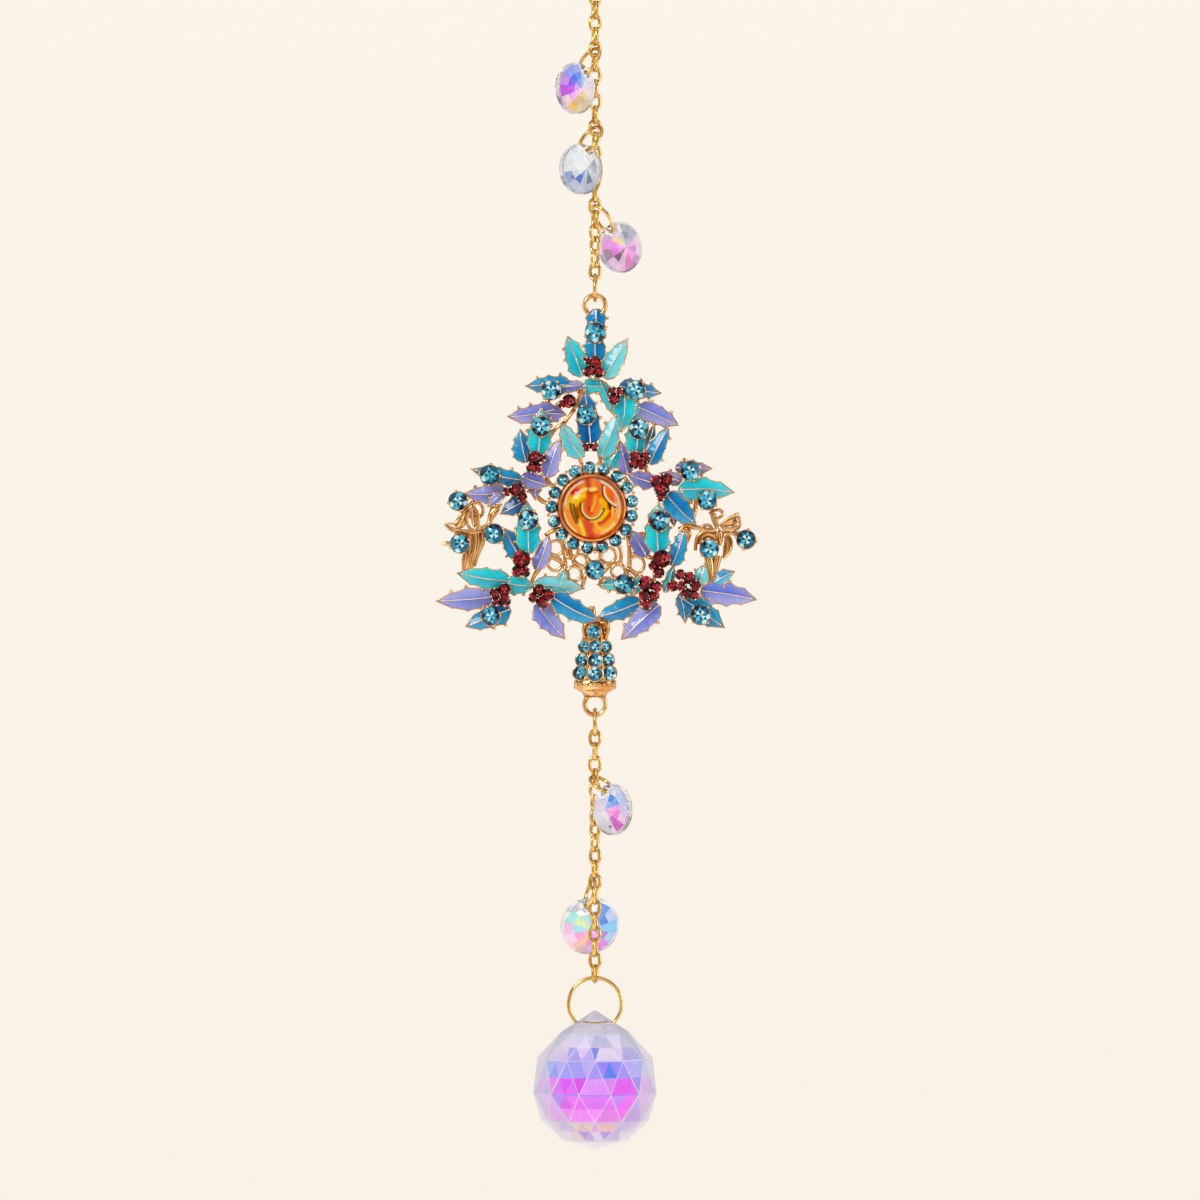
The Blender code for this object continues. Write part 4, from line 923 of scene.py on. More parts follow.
UPPER_TOP = hooked_on(HANG_WIRE - 2 * HANG_RADIUS, HANG_RING_WIRE, LINK_WIRE)
UPPER_BOTTOM = UPPER_TOP - 2 * LINK_HALF - (UPPER_LINKS - 1) * LINK_PITCH
CONNECTOR_TOP = hooked_on(UPPER_BOTTOM, LINK_WIRE, CONNECTOR_WIRE)
LOOP_TOP = hooked_on(CONNECTOR_TOP - 2 * CONNECTOR_RADIUS, CONNECTOR_WIRE, LOOP_WIRE)
ORIGIN_Z = LOOP_TOP - LOOP_RADIUS - TOP_LOOP_V * GRID
LOOP_BOTTOM = ORIGIN_Z + BOTTOM_LOOP_V * GRID - LOOP_RADIUS
CONNECTOR_LOW_TOP = hooked_on(LOOP_BOTTOM, LOOP_WIRE, CONNECTOR_WIRE)
LOWER_TOP = hooked_on(CONNECTOR_LOW_TOP - 2 * CONNECTOR_RADIUS, CONNECTOR_WIRE, LINK_WIRE)
LOWER_BOTTOM = LOWER_TOP - 2 * LINK_HALF - (LOWER_LINKS - 1) * LINK_PITCH
BALL_RING_RADIUS = (BALL_RING_OUTER - BALL_RING_WIRE) / 2
BALL_RING_Z = hooked_on(LOWER_BOTTOM, LINK_WIRE, BALL_RING_WIRE) - BALL_RING_RADIUS
BALL_APEX = BALL_RING_Z - BALL_RING_RADIUS + BALL_RING_DEPTH


def at(u, v, w):
    return Vector((u * GRID, BACK_Y - w, ORIGIN_Z + v * GRID))


# Pendant

def leaf_stations(keys, dice):
    """Stations along the midrib: share along, share of half width on each side, and whether each is a spike."""
    stations = []
    sides = [
        [(s + (dice.uniform(-0.02, 0.02) if 0 < s < 1 else 0), t * dice.uniform(0.92, 1.06)) for s, t in keys]
        for _ in (0, 1)
    ]
    for k, (s, _) in enumerate(keys):
        share = (sides[0][k][0] + sides[1][k][0]) / 2
        stations.append((share, sides[0][k][1], sides[1][k][1], k))
        if k < len(keys) - 1:
            after = (sides[0][k + 1][0] + sides[1][k + 1][0]) / 2
            halves = [(sides[i][k][1] + sides[i][k + 1][1]) / 2 * 0.94 for i in (0, 1)]
            stations.append(((share + after) / 2, *halves, None))
    return stations


def swell(s):
    """How far the enamel rises at a share along the leaf."""
    return math.sin(math.pi * min(1.0, s * 0.9 + 0.1))

def veins(s, share):
    """A wave that follows the veins, at a share along the leaf and a share out from its midrib."""
    return math.sin(2 * math.pi * (s * 5.5 - share * 0.9))

# Tone of the enamel: darker by the midrib, lighter towards the rim and darker towards the base, with the pale colour as
# a painted highlight on the tip and in streaks along the veins
def enamel_tone(s, share, main, dark, light, pale):
    tone = mix(mix(main, dark, 0.6 * (1 - share)), light, 0.45 * share)
    tone = mix(tone, pale, max(0.0, s - 0.55) * 0.75)
    tone = mix(tone, pale, 0.16 * (0.5 + 0.5 * veins(s, share)) * share)
    return mix(tone, dark, max(0.0, 0.22 - s) * 2.2)

def add_leaf(batch, leaf, index):
    base_u, base_v, tip_u, tip_v, half_width, layer, enamel = leaf
    dice = random.Random(100 + index)
    base, tip = Vector((base_u, base_v)), Vector((tip_u, tip_v))
    along = tip - base
    side = Vector((-along.y, along.x)).normalized()
    length = along.length
    short = length < 8 or half_width < 1.7
    keys, spikes = (SHORT, SHORT_SPIKES) if short else (HOLLY, HOLLY_SPIKES)
    stations = leaf_stations(keys, dice)
    back = layer * LAYER_RISE + 0.03 * (index % 9)
    edge = back + LEAF_THICKNESS
    fold = 0.5 + 0.12 * half_width / 2.5
    bend = dice.uniform(-0.5, 0.5) * min(1.0, length / 12)
    dark, light, pale = [linear(c) for c in ENAMELS_WITH_PAINTED_LIGHT[enamel]]
    # The half, picked at random, that gets the dark colour as painted shade
    shaded_half = dice.randint(0, 1)

    def place(share, reach, height):
        curve = bend * math.sin(math.pi * share)
        spot = base + along * share + side * (reach + curve)
        return at(spot.x, spot.y, height)

    # Metal body under the enamel
    outline = [(s, right * half_width) for s, _, right, _ in stations]
    outline += [(s, -left * half_width) for s, left, _, _ in stations[-2::-1]]
    low = [place(s, reach * 0.94, back) for s, reach in outline]
    high = [place(s, reach, edge) for s, reach in outline]
    count = len(outline)
    faces = [tuple(range(count)), tuple(range(2 * count - 1, count - 1, -1))]
    faces += [(k, count + k, count + (k + 1) % count, (k + 1) % count) for k in range(count)]
    batch.add(low + high, faces, slot=0, smooth=False)

    # Enamel in two halves that rise to the midrib; one half, picked at random, takes the dark colour as painted shade
    wide = len(ENAMEL_SHARES)
    for sign, which in ((1, 1), (-1, 0)):
        points, faces, colours = [], [], []
        for s, *reaches, _ in stations:
            reach = reaches[which] * half_width
            inner = min(MIDRIB, 0.3 * reach)
            outer = max(reach - RIM * 0.5, inner)
            for share in ENAMEL_SHARES:
                offset = inner + (outer - inner) * share
                rise = fold * swell(s) * (1 - share) ** 1.3
                vein = 0.1 * veins(s, share) * math.sin(math.pi * share)
                points.append(place(s, sign * offset, edge + 0.12 + rise + vein))
        main = dark if which == shaded_half else light
        for i in range(len(stations) - 1):
            for j in range(wide - 1):
                spots = ((i, j), (i, j + 1), (i + 1, j + 1), (i + 1, j))
                face = tuple(p * wide + q for p, q in spots)
                corners = [
                    enamel_tone(stations[p][0], ENAMEL_SHARES[q], main, dark, light, pale) for p, q in spots
                ]
                faces.append(face if sign < 0 else face[::-1])
                colours.append(corners if sign < 0 else corners[::-1])
        batch.add(points, faces, colours, slot=1)

    # Midrib and rim of metal
    midrib = [place(s, 0, edge + 0.16 + fold * swell(s)) for s, *_ in stations[:-1]]
    tube(batch, midrib, [MIDRIB * (1.15 - 0.6 * s) for s, *_ in stations[:-1]], sides=6, slot=2)
    rim = [place(s, reach - math.copysign(RIM * 0.3, reach), edge + 0.1) for s, reach in outline]
    tube(batch, rim, RIM, sides=6, closed=True, slot=0)
    for s, left, right, key in stations:
        if key in spikes:
            for reach in (right * half_width + 0.1, -left * half_width - 0.1):
                if dice.random() < 0.4:
                    spike = place(s, reach, edge + 0.1)
                    bead(batch, spike, dice.uniform(0.34, 0.46), sides=8, rows=5)


def add_twig(batch, twig, index):
    dice = random.Random(500 + index)
    start, end = Vector(twig[:2]), Vector(twig[2:])
    side = Vector((start.y - end.y, end.x - start.x)) * dice.uniform(-0.12, 0.12)
    path, radii = [], []
    for k in range(7):
        share = k / 6
        spot = start + (end - start) * share + side * math.sin(math.pi * share)
        path.append(at(spot.x, spot.y, 0.8))
        radii.append(0.5 + 0.08 * math.sin(5 * share + index))
    tube(batch, path, radii, sides=8)


def add_setting(batch, u, v, radius, dice, setting):
    """The gold cup of a stone with prongs over its edge."""
    prongs, top, cup, prong, slot, inset = setting
    centre = at(u, v, 0)
    wide = radius * GRID
    rings = ((0.5, wide * 0.75), (top - 0.5, wide * 0.98), (top + 0.25, wide + cup), (top + 0.25, wide * 0.9))
    lathe(batch, centre, rings, sides=20)
    spin = dice.uniform(0, 6)
    for k in range(prongs):
        outward = around(spin + 2 * math.pi * k / prongs)
        spot = centre + outward * (wide - inset) + FORWARD * (top + 0.55 + inset)
        bead(batch, spot, prong, slot, sides=8, rows=5)

def trunk_front(half_width, share):
    """How far forward the trunk's face lies, at a share of its half width from the middle."""
    depth = TRUNK_DEPTH * half_width / TRUNK_FOOT
    return TRUNK_BACK + (depth - TRUNK_BACK) * (1 - share ** 2) ** 0.4

def add_trunk(batch):
    points, faces = [], []
    section = 13
    for v, half_width in TRUNK:
        for k in range(section):
            across = math.cos(math.pi * k / (section - 1))
            points.append(at(-half_width * across, v, trunk_front(half_width, across)))
    for i in range(len(TRUNK) - 1):
        for k in range(section - 1):
            a = i * section + k
            faces.append((a, a + section, a + section + 1, a + 1))
        faces.append((i * section, i * section + section - 1, (i + 1) * section + section - 1, (i + 1) * section))
    faces.append(tuple(range(section)))
    faces.append(tuple((len(TRUNK) - 1) * section + k for k in range(section))[::-1])
    batch.add(points, faces)
    # Ridges that flare down from the stones to the foot
    for u0, u1 in ((-1.4, -1.9), (1.4, 1.9), (-2.4, -4.4), (2.4, 4.4)):
        path = []
        for k in range(7):
            v = -29.0 - 12.0 * k / 6
            u = u0 + (u1 - u0) * k / 6
            half = between([(-a, b) for a, b in TRUNK], -v)
            path.append(at(u, v, trunk_front(half, min(0.99, abs(u) / half))))
        tube(batch, path, 0.32, sides=8)
    for k in range(9):
        u = -4.4 + 1.1 * k
        bead(batch, at(u, -42.4, trunk_front(TRUNK_FOOT, abs(u) / TRUNK_FOOT)), 0.5, sides=8, rows=5)

def build_pendant(gold, enamel, midrib, stone, copper):
    batch = Batch()
    for index, leaf in enumerate(LEAVES):
        add_leaf(batch, leaf, index)
    for index, twig in enumerate(TWIGS):
        add_twig(batch, twig, index)
    for u, v, radius in LATTICE_RINGS:
        oval(batch, at(u, v, 0.9), UP, RIGHT, radius, radius, 0.75, segments=24, sides=8)
    for points in BLOSSOMS:
        stroke(batch, points)
    oval(batch, at(-29.3, -2.7, 1.7), UP, RIGHT, 2.5, 1.35, 0.75, segments=32, sides=10)
    for u, v, w, radius in ((34.1, -1.6, 2.1, 0.55), (28.7, -1.8, 2.2, 0.5), (-22.5, 0.8, 1.4, 0.3)):
        bead(batch, at(u, v, w), radius)
    add_trunk(batch)
    dice = random.Random(7)
    for u, v, radius in STONES:
        add_setting(batch, u, v, radius, dice, STONE_SETTING)
    for cluster in BERRIES:
        for u, v, radius in cluster:
            add_setting(batch, u, v, radius, dice, BERRY_SETTING)

    # Bezel, its turned edge and the settings of the halo
    middle = at(CABOCHON_U, CABOCHON_V, 0)
    inner = CABOCHON_RADIUS + SEAT_GAP
    outer = inner + BEZEL_WALL
    profile = (
        (0.1, outer + 0.5),
        (BEZEL_FLOOR, outer + 0.5),
        (BEZEL_HEIGHT - 0.4, outer + 0.1),
        (BEZEL_HEIGHT, outer - 0.1),
        (BEZEL_HEIGHT + 0.15, outer - 0.4),
        (BEZEL_HEIGHT, inner),
        (BEZEL_FLOOR, inner),
    )
    lathe(batch, middle, profile, sides=64, slot=4)
    for k in range(HALO_COUNT):
        angle = math.radians(HALO_START + 360 * k / HALO_COUNT)
        centre = middle + around(angle) * HALO_RADIUS
        lathe(batch, centre, HALO_CUP, sides=16)
        cut_stone(batch, centre + FORWARD * 1.7, 1.4, 0.95, TEAL_AND_GLINTS, dice, slot=3, count=6)
        spot = middle + around(angle + math.pi / HALO_COUNT) * (HALO_RADIUS + 0.9) + FORWARD * 2.0
        bead(batch, spot, 0.4, sides=8, rows=5)
    for v in (TOP_LOOP_V, BOTTOM_LOOP_V):
        oval(batch, at(0, v, BACK_Y), UP, RIGHT, LOOP_RADIUS, LOOP_RADIUS, LOOP_WIRE, segments=40, sides=12)
    for u, v, radius, reach in TRUNK_STONES:
        cup = ((reach - 2.2, radius), (reach - 0.5, radius * 1.12), (reach - 0.5, radius))
        lathe(batch, at(u, v, 0), cup, sides=16)
        cut_stone(batch, at(u, v, reach - 0.75), radius, 0.75, TEAL_AND_GLINTS, dice, slot=3, count=6)
    batch.build("pendant", (gold, enamel, midrib, stone, copper), ["tree_casting"])


def build_stones(stone, ruby):
    for index, (u, v, radius) in enumerate(STONES):
        batch = Batch()
        dice = random.Random(900 + index)
        cut_stone(batch, at(u, v, SEAT_TOP + SEAT_GAP), radius * GRID, STONE_HEIGHT, TEAL_AND_GLINTS, dice)
        batch.build(f"stone_{index + 1:02d}", (stone,), [f"blue_stone_{index + 1:02d}"])
    for index, cluster in enumerate(BERRIES):
        batch = Batch()
        dice = random.Random(1200 + index)
        for u, v, radius in cluster:
            height = BERRY_HEIGHT * radius / 1.5
            cut_stone(batch, at(u, v, BERRY_SEAT_TOP + SEAT_GAP), radius * GRID, height, RUBY_AND_GLINTS, dice, count=6)
        batch.build(f"berry_cluster_{index + 1:02d}", (ruby,), [f"berries_{index + 1:02d}"])


def swirl_and_sheen_colour(x, y):
    """Colour of the amber glass at a place given as shares of its radius, painted highlights of the dome included."""
    colour = mix(linear((236, 124, 0)), linear((250, 156, 0)), 0.5 + 0.5 * math.sin(5 * x + 3 * y))
    for shade, width, points in SWIRLS_AND_SHEEN:
        nearest = 9.0
        spot = Vector((x, y))
        path = smooth_path(points, 5)
        for first, second in zip(path, path[1:]):
            first, second = Vector(first), Vector(second)
            way = second - first
            share = max(0.0, min(1.0, (spot - first).dot(way) / way.length_squared))
            nearest = min(nearest, (spot - first - way * share).length)
        colour = mix(colour, linear(shade), math.exp(-((nearest / width) ** 4)))
    return colour


def build_cabochon(swirl, dome):
    """The swirled core with the colours, painted highlights among them, in its front, under a clear dome."""
    middle = at(CABOCHON_U, CABOCHON_V, BEZEL_FLOOR + SEAT_GAP)
    straight = BEZEL_HEIGHT - BEZEL_FLOOR
    rise = CABOCHON_HEIGHT - straight
    rows, sides = 44, 120
    radius = CABOCHON_RADIUS * 0.97
    level = straight * 0.8
    points, colours = [], []
    for i in range(rows + 1):
        share = max(0.002, i / rows)
        height = level + rise * 0.4 * math.sqrt(1 - share * share * 0.98)
        for k in range(sides):
            angle = 2 * math.pi * k / sides
            x, y = share * math.cos(angle), share * math.sin(angle)
            points.append(middle + Vector((x * radius, -height, y * radius)))
            colours.append(swirl_and_sheen_colour(x, y))
    points += [middle + around(2 * math.pi * k / sides) * radius for k in range(sides)]
    colours += colours[-sides:]
    faces = turned(skin(rows + 2, sides))
    core = Batch()
    core.add(points, faces, [[colours[i] for i in face] for face in faces])
    core.build("cabochon_core", (swirl,))
    rings = [(0.0, CABOCHON_RADIUS)]
    for k in range(23):
        angle = math.radians(4 * k)
        rings.append((straight + rise * math.sin(angle), CABOCHON_RADIUS * math.cos(angle)))
    rings.append((straight + rise, 0.02))
    shell = Batch()
    lathe(shell, middle, rings, sides=72)
    shell.build("cabochon_dome", (dome,), ["cabochon"])

# Chain

def link_direction(turns, index):
    angle = math.radians(between(turns, index) + 90 * index)
    return Vector((math.cos(angle), math.sin(angle), 0))


def build_chain(name, node, top_wire, count, turns, gold):
    batch = Batch()
    middles = [top_wire - LINK_HALF - index * LINK_PITCH for index in range(count)]
    half_width = (LINK_WIDTH - LINK_WIRE) / 2 + LINK_WIDER
    wire = LINK_WIRE + LINK_FULLER
    for index, middle in enumerate(middles):
        angle = math.radians(LINK_LOOSE_TURNS[index % 2])
        across = Matrix.Rotation(angle, 3, "Z") @ link_direction(turns, index)
        oval(batch, Vector((0, 0, middle)), UP, across, LINK_HALF, half_width, wire, segments=36, sides=12)
    batch.build(name, (gold,), [node])
    return middles

def build_ring(name, node, top_wire, outer, wire, across, gold):
    batch = Batch()
    radius = (outer - wire) / 2
    oval(batch, Vector((0, 0, top_wire - radius)), UP, across, radius, radius, wire, segments=64, sides=12)
    batch.build(name, (gold,), [node])

def disc_axes(face, lean, tip):
    angle = math.radians(face)
    normal = Vector((math.sin(angle), -math.cos(angle), 0))
    side = Vector((math.cos(angle), math.sin(angle), 0))
    lean, tip = math.radians(lean), math.radians(tip)
    upright = UP * math.cos(lean) + side * math.sin(lean)
    return upright * math.cos(tip) + normal * math.sin(tip), normal * math.cos(tip) - upright * math.sin(tip)


def cut_away(piece, batch):
    """Cuts the shape of a batch out of a piece."""
    cutter = batch.shape("cutter")
    cut = piece.modifiers.new("cut", "BOOLEAN")
    cut.operation = "DIFFERENCE"
    cut.object = cutter
    cut.solver = "EXACT"
    bpy.context.view_layer.update()
    depsgraph = bpy.context.evaluated_depsgraph_get()
    mesh = bpy.data.meshes.new_from_object(piece.evaluated_get(depsgraph), depsgraph=depsgraph)
    piece.modifiers.clear()
    piece.data = mesh
    bpy.data.objects.remove(cutter)

def build_disc(name, centre, diameter, axes, colours, crystal, coating):
    """A disc cut into wedges on both faces, with a coloured coating inside it and a hole near its rim."""
    up, normal = axes
    aside = normal.cross(up)
    radius = diameter / 2
    wedges = DISC_WEDGES
    shades = [linear(c) for c in reversed(GLASS[colours])]

    def spot(turn, distance, height):
        turn = 2 * math.pi * turn / wedges
        return centre + (up * math.cos(turn) + aside * math.sin(turn)) * distance + normal * height

    points, faces, tints = [], [], []
    slope = DISC_THICKNESS / 2 - DISC_RIM / 2
    for sign in (1, -1):
        start = len(points)
        points.append(spot(0, 0, sign * DISC_THICKNESS / 2))
        star_rise = sign * (DISC_RIM / 2 + slope * DISC_STAR_RISE)
        points += [spot(k, DISC_STAR * radius, star_rise) for k in range(wedges)]
        points += [spot(k / 2, radius, sign * DISC_RIM / 2) for k in range(2 * wedges)]
        for k in range(wedges):
            after = (k + 1) % wedges
            near = mix(shades[k], WHITE, 0.72)
            pale = mix(shades[k], WHITE, 0.86)
            a, b = start + 1, start + 1 + wedges
            added = [
                ((start, a + k, a + after), pale),
                ((a + k, b + 2 * k, b + 2 * k + 1), near),
                ((a + k, b + 2 * k + 1, a + after), pale),
                ((a + after, b + 2 * k + 1, b + (2 * k + 2) % (2 * wedges)), near),
            ]
            for face, tint in added:
                faces.append(face[::-1] if sign < 0 else face)
                tints.append(tint)
    rim = 1 + wedges
    other = rim + 1 + wedges + 2 * wedges
    for k in range(2 * wedges):
        after = (k + 1) % (2 * wedges)
        faces.append((rim + k, other + k, other + after, rim + after))
        tints.append((0.86, 0.86, 0.94))
    batch = Batch()
    batch.add(points, faces, tints, smooth=False)
    piece = batch.build("crystal_" + name + "_glass", (crystal,), ["crystal_" + name])
    hole = centre + up * radius * DISC_HOLE_PLACE
    drill = Batch()
    tube(drill, [hole - normal * DRILL_REACH, hole + normal * DRILL_REACH], DISC_HOLE / 2, sides=16)
    cut_away(piece, drill)

    # The coating: wedges in three rings close under the front, left out where the hole is
    points, faces, tints = [spot(0, 0, COATING_PEAK)], [], []
    for share, height in COATING_RINGS:
        reaches = [0.5 if share == DISC_STAR and k == 0 else share for k in range(wedges)]
        points += [spot(k, reach * radius, height) for k, reach in enumerate(reaches)]
    dice = random.Random(sum(map(ord, name)))
    for k in range(wedges):
        after = (k + 1) % wedges
        faces.append((0, 1 + k, 1 + after))
        tints.append(mix(shades[k], WHITE, dice.uniform(0.1, 0.4)))
        for band in (0, 1):
            if band and k in (0, wedges - 1):
                continue
            a, b = 1 + band * wedges, 1 + (band + 1) * wedges
            faces.append((a + k, b + k, b + after, a + after))
            pale = dice.choice((0.05, 0.3, 0.6)) if band else dice.uniform(0.0, 0.15)
            tints.append(mix(shades[(k + band * dice.randint(0, 1)) % wedges], WHITE, pale))
    core = Batch()
    core.add(points, faces, tints, smooth=False)
    # Painted dark reflection: a small dark spot in the coating
    if name in DARK_REFLECTION_SPOTS:
        turn, share = DARK_REFLECTION_SPOTS[name]
        middle = spot(-turn, share * radius, 1.25)
        dark = [middle + (up * math.cos(1.26 * j) + aside * math.sin(1.26 * j)) * 0.5 for j in range(5)]
        core.add(dark, [(0, 1, 2, 3, 4)], (0.004, 0.004, 0.006), smooth=False)
    core.build("crystal_" + name + "_coating", (coating,))
    return hole, normal


def build_jump_ring(name, link_middle, link_across, hole, normal, share, gold):
    start = Vector((0, 0, link_middle + JUMP_LIFT))
    reach = hole - start
    along = reach.normalized()
    link_normal = UP.cross(link_across)
    if link_normal.dot(normal) < 0:
        link_normal.negate()
    through = link_normal + normal
    through -= along * through.dot(along)
    batch = Batch()
    radius = reach.length / 2
    wire = JUMP_WIRE + JUMP_FULLER
    oval(batch, (start + hole) / 2, along, through, radius, radius * share, wire, segments=40, sides=10)
    batch.build("ring_" + name, (gold,), ["jump_ring_" + name])


def ball_facets(centre, radius, peak):
    """Points and faces of a ball cut into rows of triangles, with a point on top."""
    points, faces, starts = [], [], []
    for latitude, shift in BALL_ROWS:
        height, wide = radius * math.sin(math.radians(latitude)), radius * math.cos(math.radians(latitude))
        starts.append(len(points))
        for k in range(BALL_SIDES):
            turn = 2 * math.pi * (k + shift) / BALL_SIDES
            points.append(centre + Vector((wide * math.sin(turn), -wide * math.cos(turn), height)))
    points.append(centre + UP * peak)
    points.append(centre - UP * radius)
    for (_, shift), upper, lower in zip(BALL_ROWS, starts, starts[1:]):
        step = 1 if shift else 0
        for k in range(BALL_SIDES):
            meet = (k + step) % BALL_SIDES
            faces.append((upper + k, lower + meet, upper + (k + 1) % BALL_SIDES))
            faces.append((lower + meet, upper + k, lower + (meet - 1) % BALL_SIDES))
    for k in range(BALL_SIDES):
        after = (k + 1) % BALL_SIDES
        faces.append((starts[0] + k, starts[0] + after, len(points) - 2))
        faces.append((starts[-1] + after, starts[-1] + k, len(points) - 1))
    return points, faces

def ball_tint(spot, pick, dice):
    """A colour of the band that a place on the ball lies in, mostly the same one within a facet."""
    latitude = math.degrees(math.asin(spot.z / spot.length))
    colours = next(colours for lowest, colours in BALL_BANDS if latitude >= lowest)
    same = colours[int(pick * len(colours))]
    return linear(dice.choice(colours) if dice.random() < 0.3 else same)

def build_ball(crystal, coating):
    """The ball with its pointed nose and the tunnel for its ring, and the coloured coating seen inside it."""
    radius = BALL_DIAMETER / 2
    centre = Vector((0, 0, BALL_APEX - radius - BALL_NOSE))
    dice = random.Random(31)
    points, faces = ball_facets(centre, radius, radius + BALL_NOSE)
    tints = [mix(linear(dice.choice(BALL_GLASS)), WHITE, dice.uniform(0.0, 0.5)) for _ in faces]
    batch = Batch()
    batch.add(points, faces, tints, smooth=False)
    piece = batch.build("ball_glass", (crystal,), ["crystal_ball"])
    tunnel = Batch()
    ring = Vector((0, 0, BALL_RING_Z))
    wire = BALL_RING_WIRE + 2 * TUNNEL_GAP
    oval(tunnel, ring, UP, RIGHT, BALL_RING_RADIUS, BALL_RING_RADIUS, wire, segments=32, sides=10)
    cut_away(piece, tunnel)

    # The coating just under the facets, each split in four within a pale border, a painted glint along the facet edges
    points, faces = ball_facets(centre, radius * BALL_COATING, radius * BALL_COATING_PEAK)
    waist = centre.z + radius * BALL_COATING * math.sin(math.radians(BALL_WAIST))
    core = Batch()
    for face in faces:
        corners = [points[i] for i in face]
        hub = sum(corners, Vector()) / 3
        inner = [hub + (corner - hub) * BALL_FACET_INSIDE for corner in corners]
        middles = [(inner[k] + inner[(k + 1) % 3]) / 2 for k in range(3)]
        pick = dice.random()
        tints = []
        # The border strips: painted glint lines, blue along the waist
        for k in range(3):
            off_waist = max(abs(corners[k].z - waist), abs(corners[(k + 1) % 3].z - waist))
            tints.append(linear(BALL_WAIST_LINE if off_waist < 0.1 else BALL_EDGE_GLINT))
        for trio in (
            (inner[0], middles[0], middles[2]),
            (middles[0], inner[1], middles[1]),
            (middles[1], inner[2], middles[2]),
            (middles[0], middles[1], middles[2]),
        ):
            tints.append(ball_tint(sum(trio, Vector()) / 3 - centre, pick, dice))
        core.add(corners + inner + middles, BALL_FACET_SPLIT, tints, smooth=False)
    core.build("ball_coating_glow", (coating,))

# Stage

def aim(thing, place, target):
    """Puts a light or a card at a place, turned to a target."""
    thing.location = place
    thing.rotation_euler = (Vector(target) - Vector(place)).to_track_quat("-Z", "Y").to_euler()

def add_light(name, place, target, size, power, mirrored=True):
    data = bpy.data.lights.new(name, "AREA")
    data.shape = "RECTANGLE"
    data.size, data.size_y = size
    data.energy = power
    lamp = bpy.data.objects.new(name, data)
    aim(lamp, place, target)
    lamp.visible_camera = False
    lamp.visible_transmission = False
    lamp.visible_glossy = mirrored
    bpy.context.scene.collection.objects.link(lamp)


def add_card(name, place, target, size):
    """A dark card that the camera does not see, for the dark streaks in polished metal and glass."""
    wide, high = size[0] / 2, size[1] / 2
    corners = [(-wide, -high, 0), (wide, -high, 0), (wide, high, 0), (-wide, high, 0)]
    card = new_object(name, corners, [(0, 1, 2, 3)])
    card.visible_camera = False
    aim(card, place, target)
    made, nodes, links, shader = new_material(name + "_paint")
    cloud = noise(nodes, links, 3.0, 2)
    dark = ramp(nodes, links, cloud.outputs["Fac"], ((0.3, (0.02, 0.015, 0.01)), (0.7, (0.04, 0.03, 0.02))))
    links.new(dark, shader.inputs["Base Color"])
    shader.inputs["Roughness"].default_value = 0.9
    card.data.materials.append(made)


def build_stage():
    scene = bpy.context.scene
    scene.view_settings.view_transform = "Standard"
    world = bpy.data.worlds.new("studio")
    world.use_nodes = True
    scene.world = world
    nodes, links = world.node_tree.nodes, world.node_tree.links
    background = nodes["Background"]
    place = nodes.new("ShaderNodeTexCoord")
    parts = nodes.new("ShaderNodeSeparateXYZ")
    links.new(place.outputs["Generated"], parts.inputs[0])
    height = nodes.new("ShaderNodeMapRange")
    height.inputs["From Min"].default_value = -1
    links.new(parts.outputs["Z"], height.inputs["Value"])
    cream_low, cream_high = linear((249, 240, 228)), linear((253, 246, 236))
    sky = ramp(
        nodes,
        links,
        height.outputs["Result"],
        (
            (0.0, (0.25, 0.23, 0.22)),
            (0.3, (0.35, 0.32, 0.3)),
            (0.4, cream_low),
            (0.5, mix(cream_low, cream_high, 0.5)),
            (0.62, cream_high),
            (0.7, (0.18, 0.18, 0.2)),
            (0.8, (0.3, 0.3, 0.33)),
            (0.86, (0.8, 0.8, 0.83)),
            (1.0, (0.95, 0.95, 0.98)),
        ),
    )
    links.new(sky, background.inputs["Color"])
    background.inputs["Strength"].default_value = 1.0

    floor_z, reach, count = -0.62, 2.4, 64
    turns = [2 * math.pi * k / count for k in range(count)]
    ring = [(reach * math.cos(turn), reach * math.sin(turn), floor_z) for turn in turns]
    floor = new_object("floor", ring, [tuple(range(count))])
    made, nodes, links, shader = new_material("floor_paint")
    cloud = noise(nodes, links, 2.0, 2)
    pale_stops = ((0.3, linear((244, 236, 225))), (0.7, linear((248, 240, 229))))
    pale = ramp(nodes, links, cloud.outputs["Fac"], pale_stops)
    links.new(pale, shader.inputs["Base Color"])
    links.new(pale, shader.inputs["Emission Color"])
    shader.inputs["Emission Strength"].default_value = 0.35
    shader.inputs["Roughness"].default_value = 0.7
    floor.data.materials.append(made)

    middle = (0, 0, -0.16)
    add_light("key", (-0.55, -0.75, 0.35), middle, (0.35, 0.35), 4.5)
    add_light("side", (0.8, -0.35, -0.05), middle, (0.15, 0.7), 2.2)
    add_light("back", (0.3, 0.8, 0.3), middle, (0.6, 0.4), 4, mirrored=False)
    for name, x, y, width in (("left", -0.5, -1.0, 0.42), ("right", 0.55, -0.95, 0.42)):
        add_card(name + "_card", (x, y, -0.16), middle, (width, 1.0))


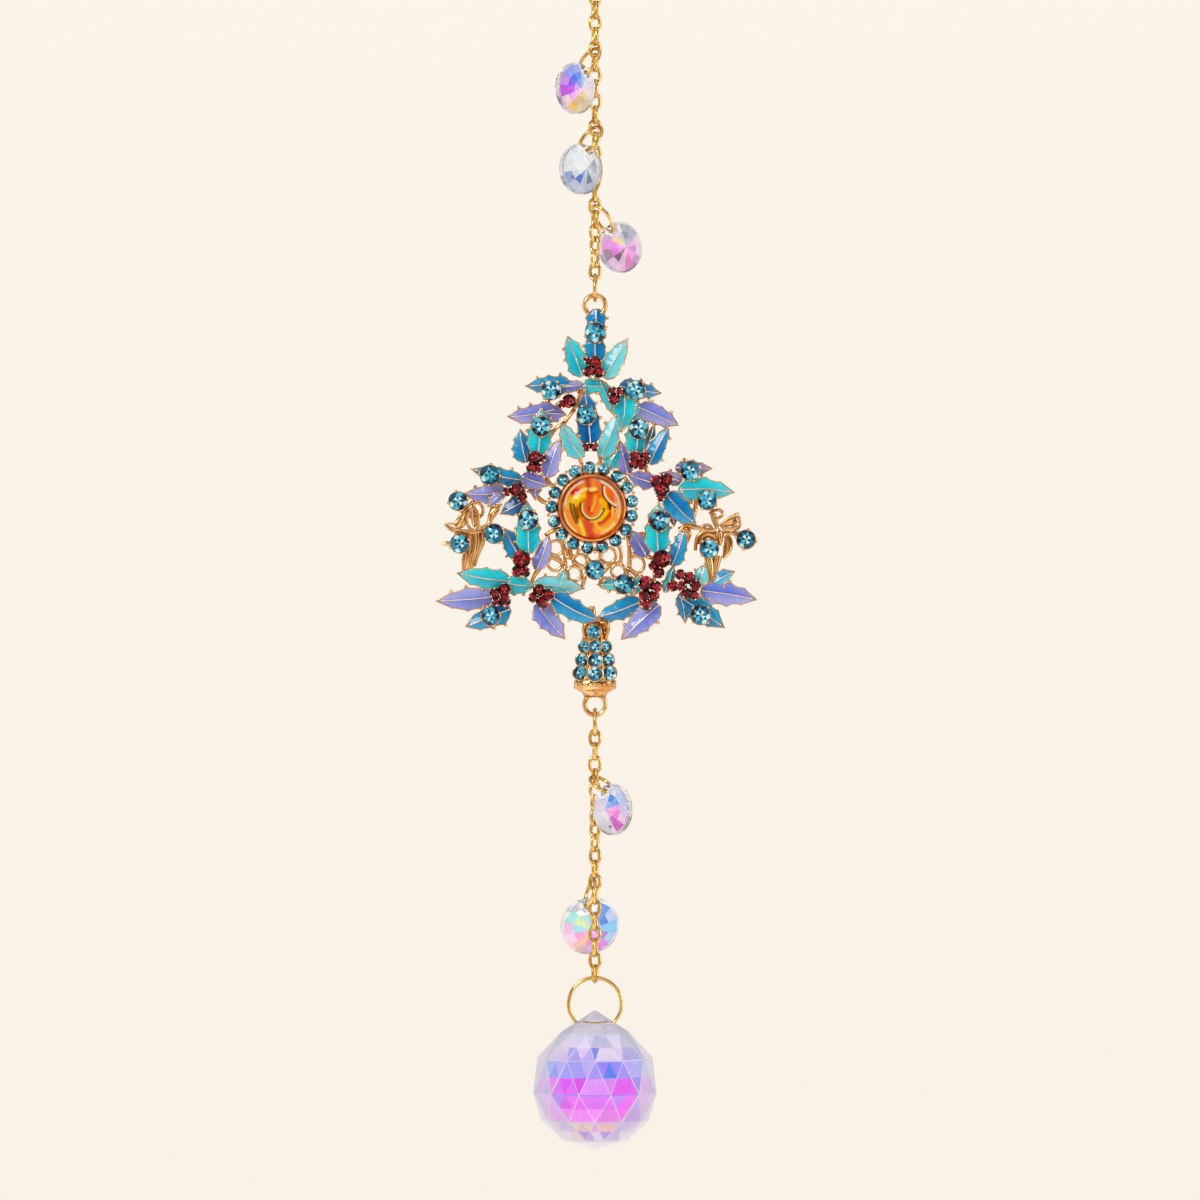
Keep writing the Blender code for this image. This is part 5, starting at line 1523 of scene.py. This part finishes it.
def build_camera():
    """A level long lens in front that takes in as much as the photo does."""
    data = bpy.data.cameras.new("camera")
    camera = bpy.data.objects.new("camera", data)
    bpy.context.scene.collection.objects.link(camera)
    middle_u, middle_v = VIEW_OFFSET[0] * PIXEL, VIEW_OFFSET[1] * PIXEL
    camera.location = (middle_u * MM, -CAMERA_DISTANCE, (ORIGIN_Z + middle_v) * MM)
    camera.rotation_euler = (math.radians(90), 0, 0)
    data.sensor_width = 36
    data.lens = data.sensor_width * CAMERA_DISTANCE / (PHOTO_WIDTH * PIXEL * MM)
    data.clip_start = 0.05
    bpy.context.scene.camera = camera

def main():
    gold = gold_material("chain_gold", (240, 202, 126), (214, 168, 86), (100, 66, 18), 0.14)
    casting_gold = gold_material("casting_gold", (244, 200, 142), (206, 148, 84), (84, 45, 16), 0.16)
    # Pale gold of the midribs and berry prongs: partly the metal's colour, partly a painted highlight whitened to stand
    # for the shine along them
    midrib = gold_material("midrib_gold_and_highlight", (250, 240, 226), (236, 218, 196), (150, 120, 100), 0.2)
    enamel = tinted_material("enamel", 0.2, 0.14, coat=0.4, ior=1.34)
    stone = tinted_material("blue_stone_glass", 0.08, 0.08, coat=0.3, metallic=0.1, ior=1.42)
    ruby = tinted_material("ruby_glass", 0.06, 0.1, coat=0.2, ior=1.25)
    crystal = crystal_material()
    coating = coating_material("crystal_coating_glow", ((0.11, 0.0), (0.22, 0.82)))
    ball_coating_glow = coating_material("ball_coating_glow", ((0.08, 0.0), (0.14, 0.5), (0.22, 0.95)))
    copper = gold_material("bezel_gold", (240, 160, 96), (206, 104, 44), (110, 30, 8), 0.14)
    build_pendant(casting_gold, enamel, midrib, stone, copper)
    build_stones(stone, ruby)
    build_cabochon(amber_material(), dome_material())
    build_ring("hang_ring", "hanging_ring", HANG_WIRE, HANG_RING_OUTER, HANG_RING_WIRE, RIGHT, gold)
    upper = build_chain("upper_links", "chain_upper", UPPER_TOP, UPPER_LINKS, UPPER_TURNS, gold)
    lower = build_chain("lower_links", "chain_lower", LOWER_TOP, LOWER_LINKS, LOWER_TURNS, gold)
    across = Vector((0, 1, 0))
    build_ring("top_connector", "connector_upper", CONNECTOR_TOP, CONNECTOR_OUTER, CONNECTOR_WIRE, across, gold)
    build_ring("low_connector", "connector_lower", CONNECTOR_LOW_TOP, CONNECTOR_OUTER, CONNECTOR_WIRE, across, gold)
    ball_ring_top = BALL_RING_Z + BALL_RING_RADIUS
    build_ring("ball_wire", "ball_ring", ball_ring_top, BALL_RING_OUTER, BALL_RING_WIRE, RIGHT, gold)
    build_ball(crystal, ball_coating_glow)
    chains = {"upper": (upper, UPPER_TURNS), "lower": (lower, LOWER_TURNS)}
    for name, chain, link, x, y, drop, diameter, face, lean, tip, colours, share in DISCS:
        middles, turns = chains[chain]
        centre = Vector((x, y, middles[link] - drop))
        hole, normal = build_disc(name, centre, diameter, disc_axes(face, lean, tip), colours, crystal, coating)
        build_jump_ring(name, middles[link], link_direction(turns, link), hole, normal, share, gold)
    build_stage()
    build_camera()


main()
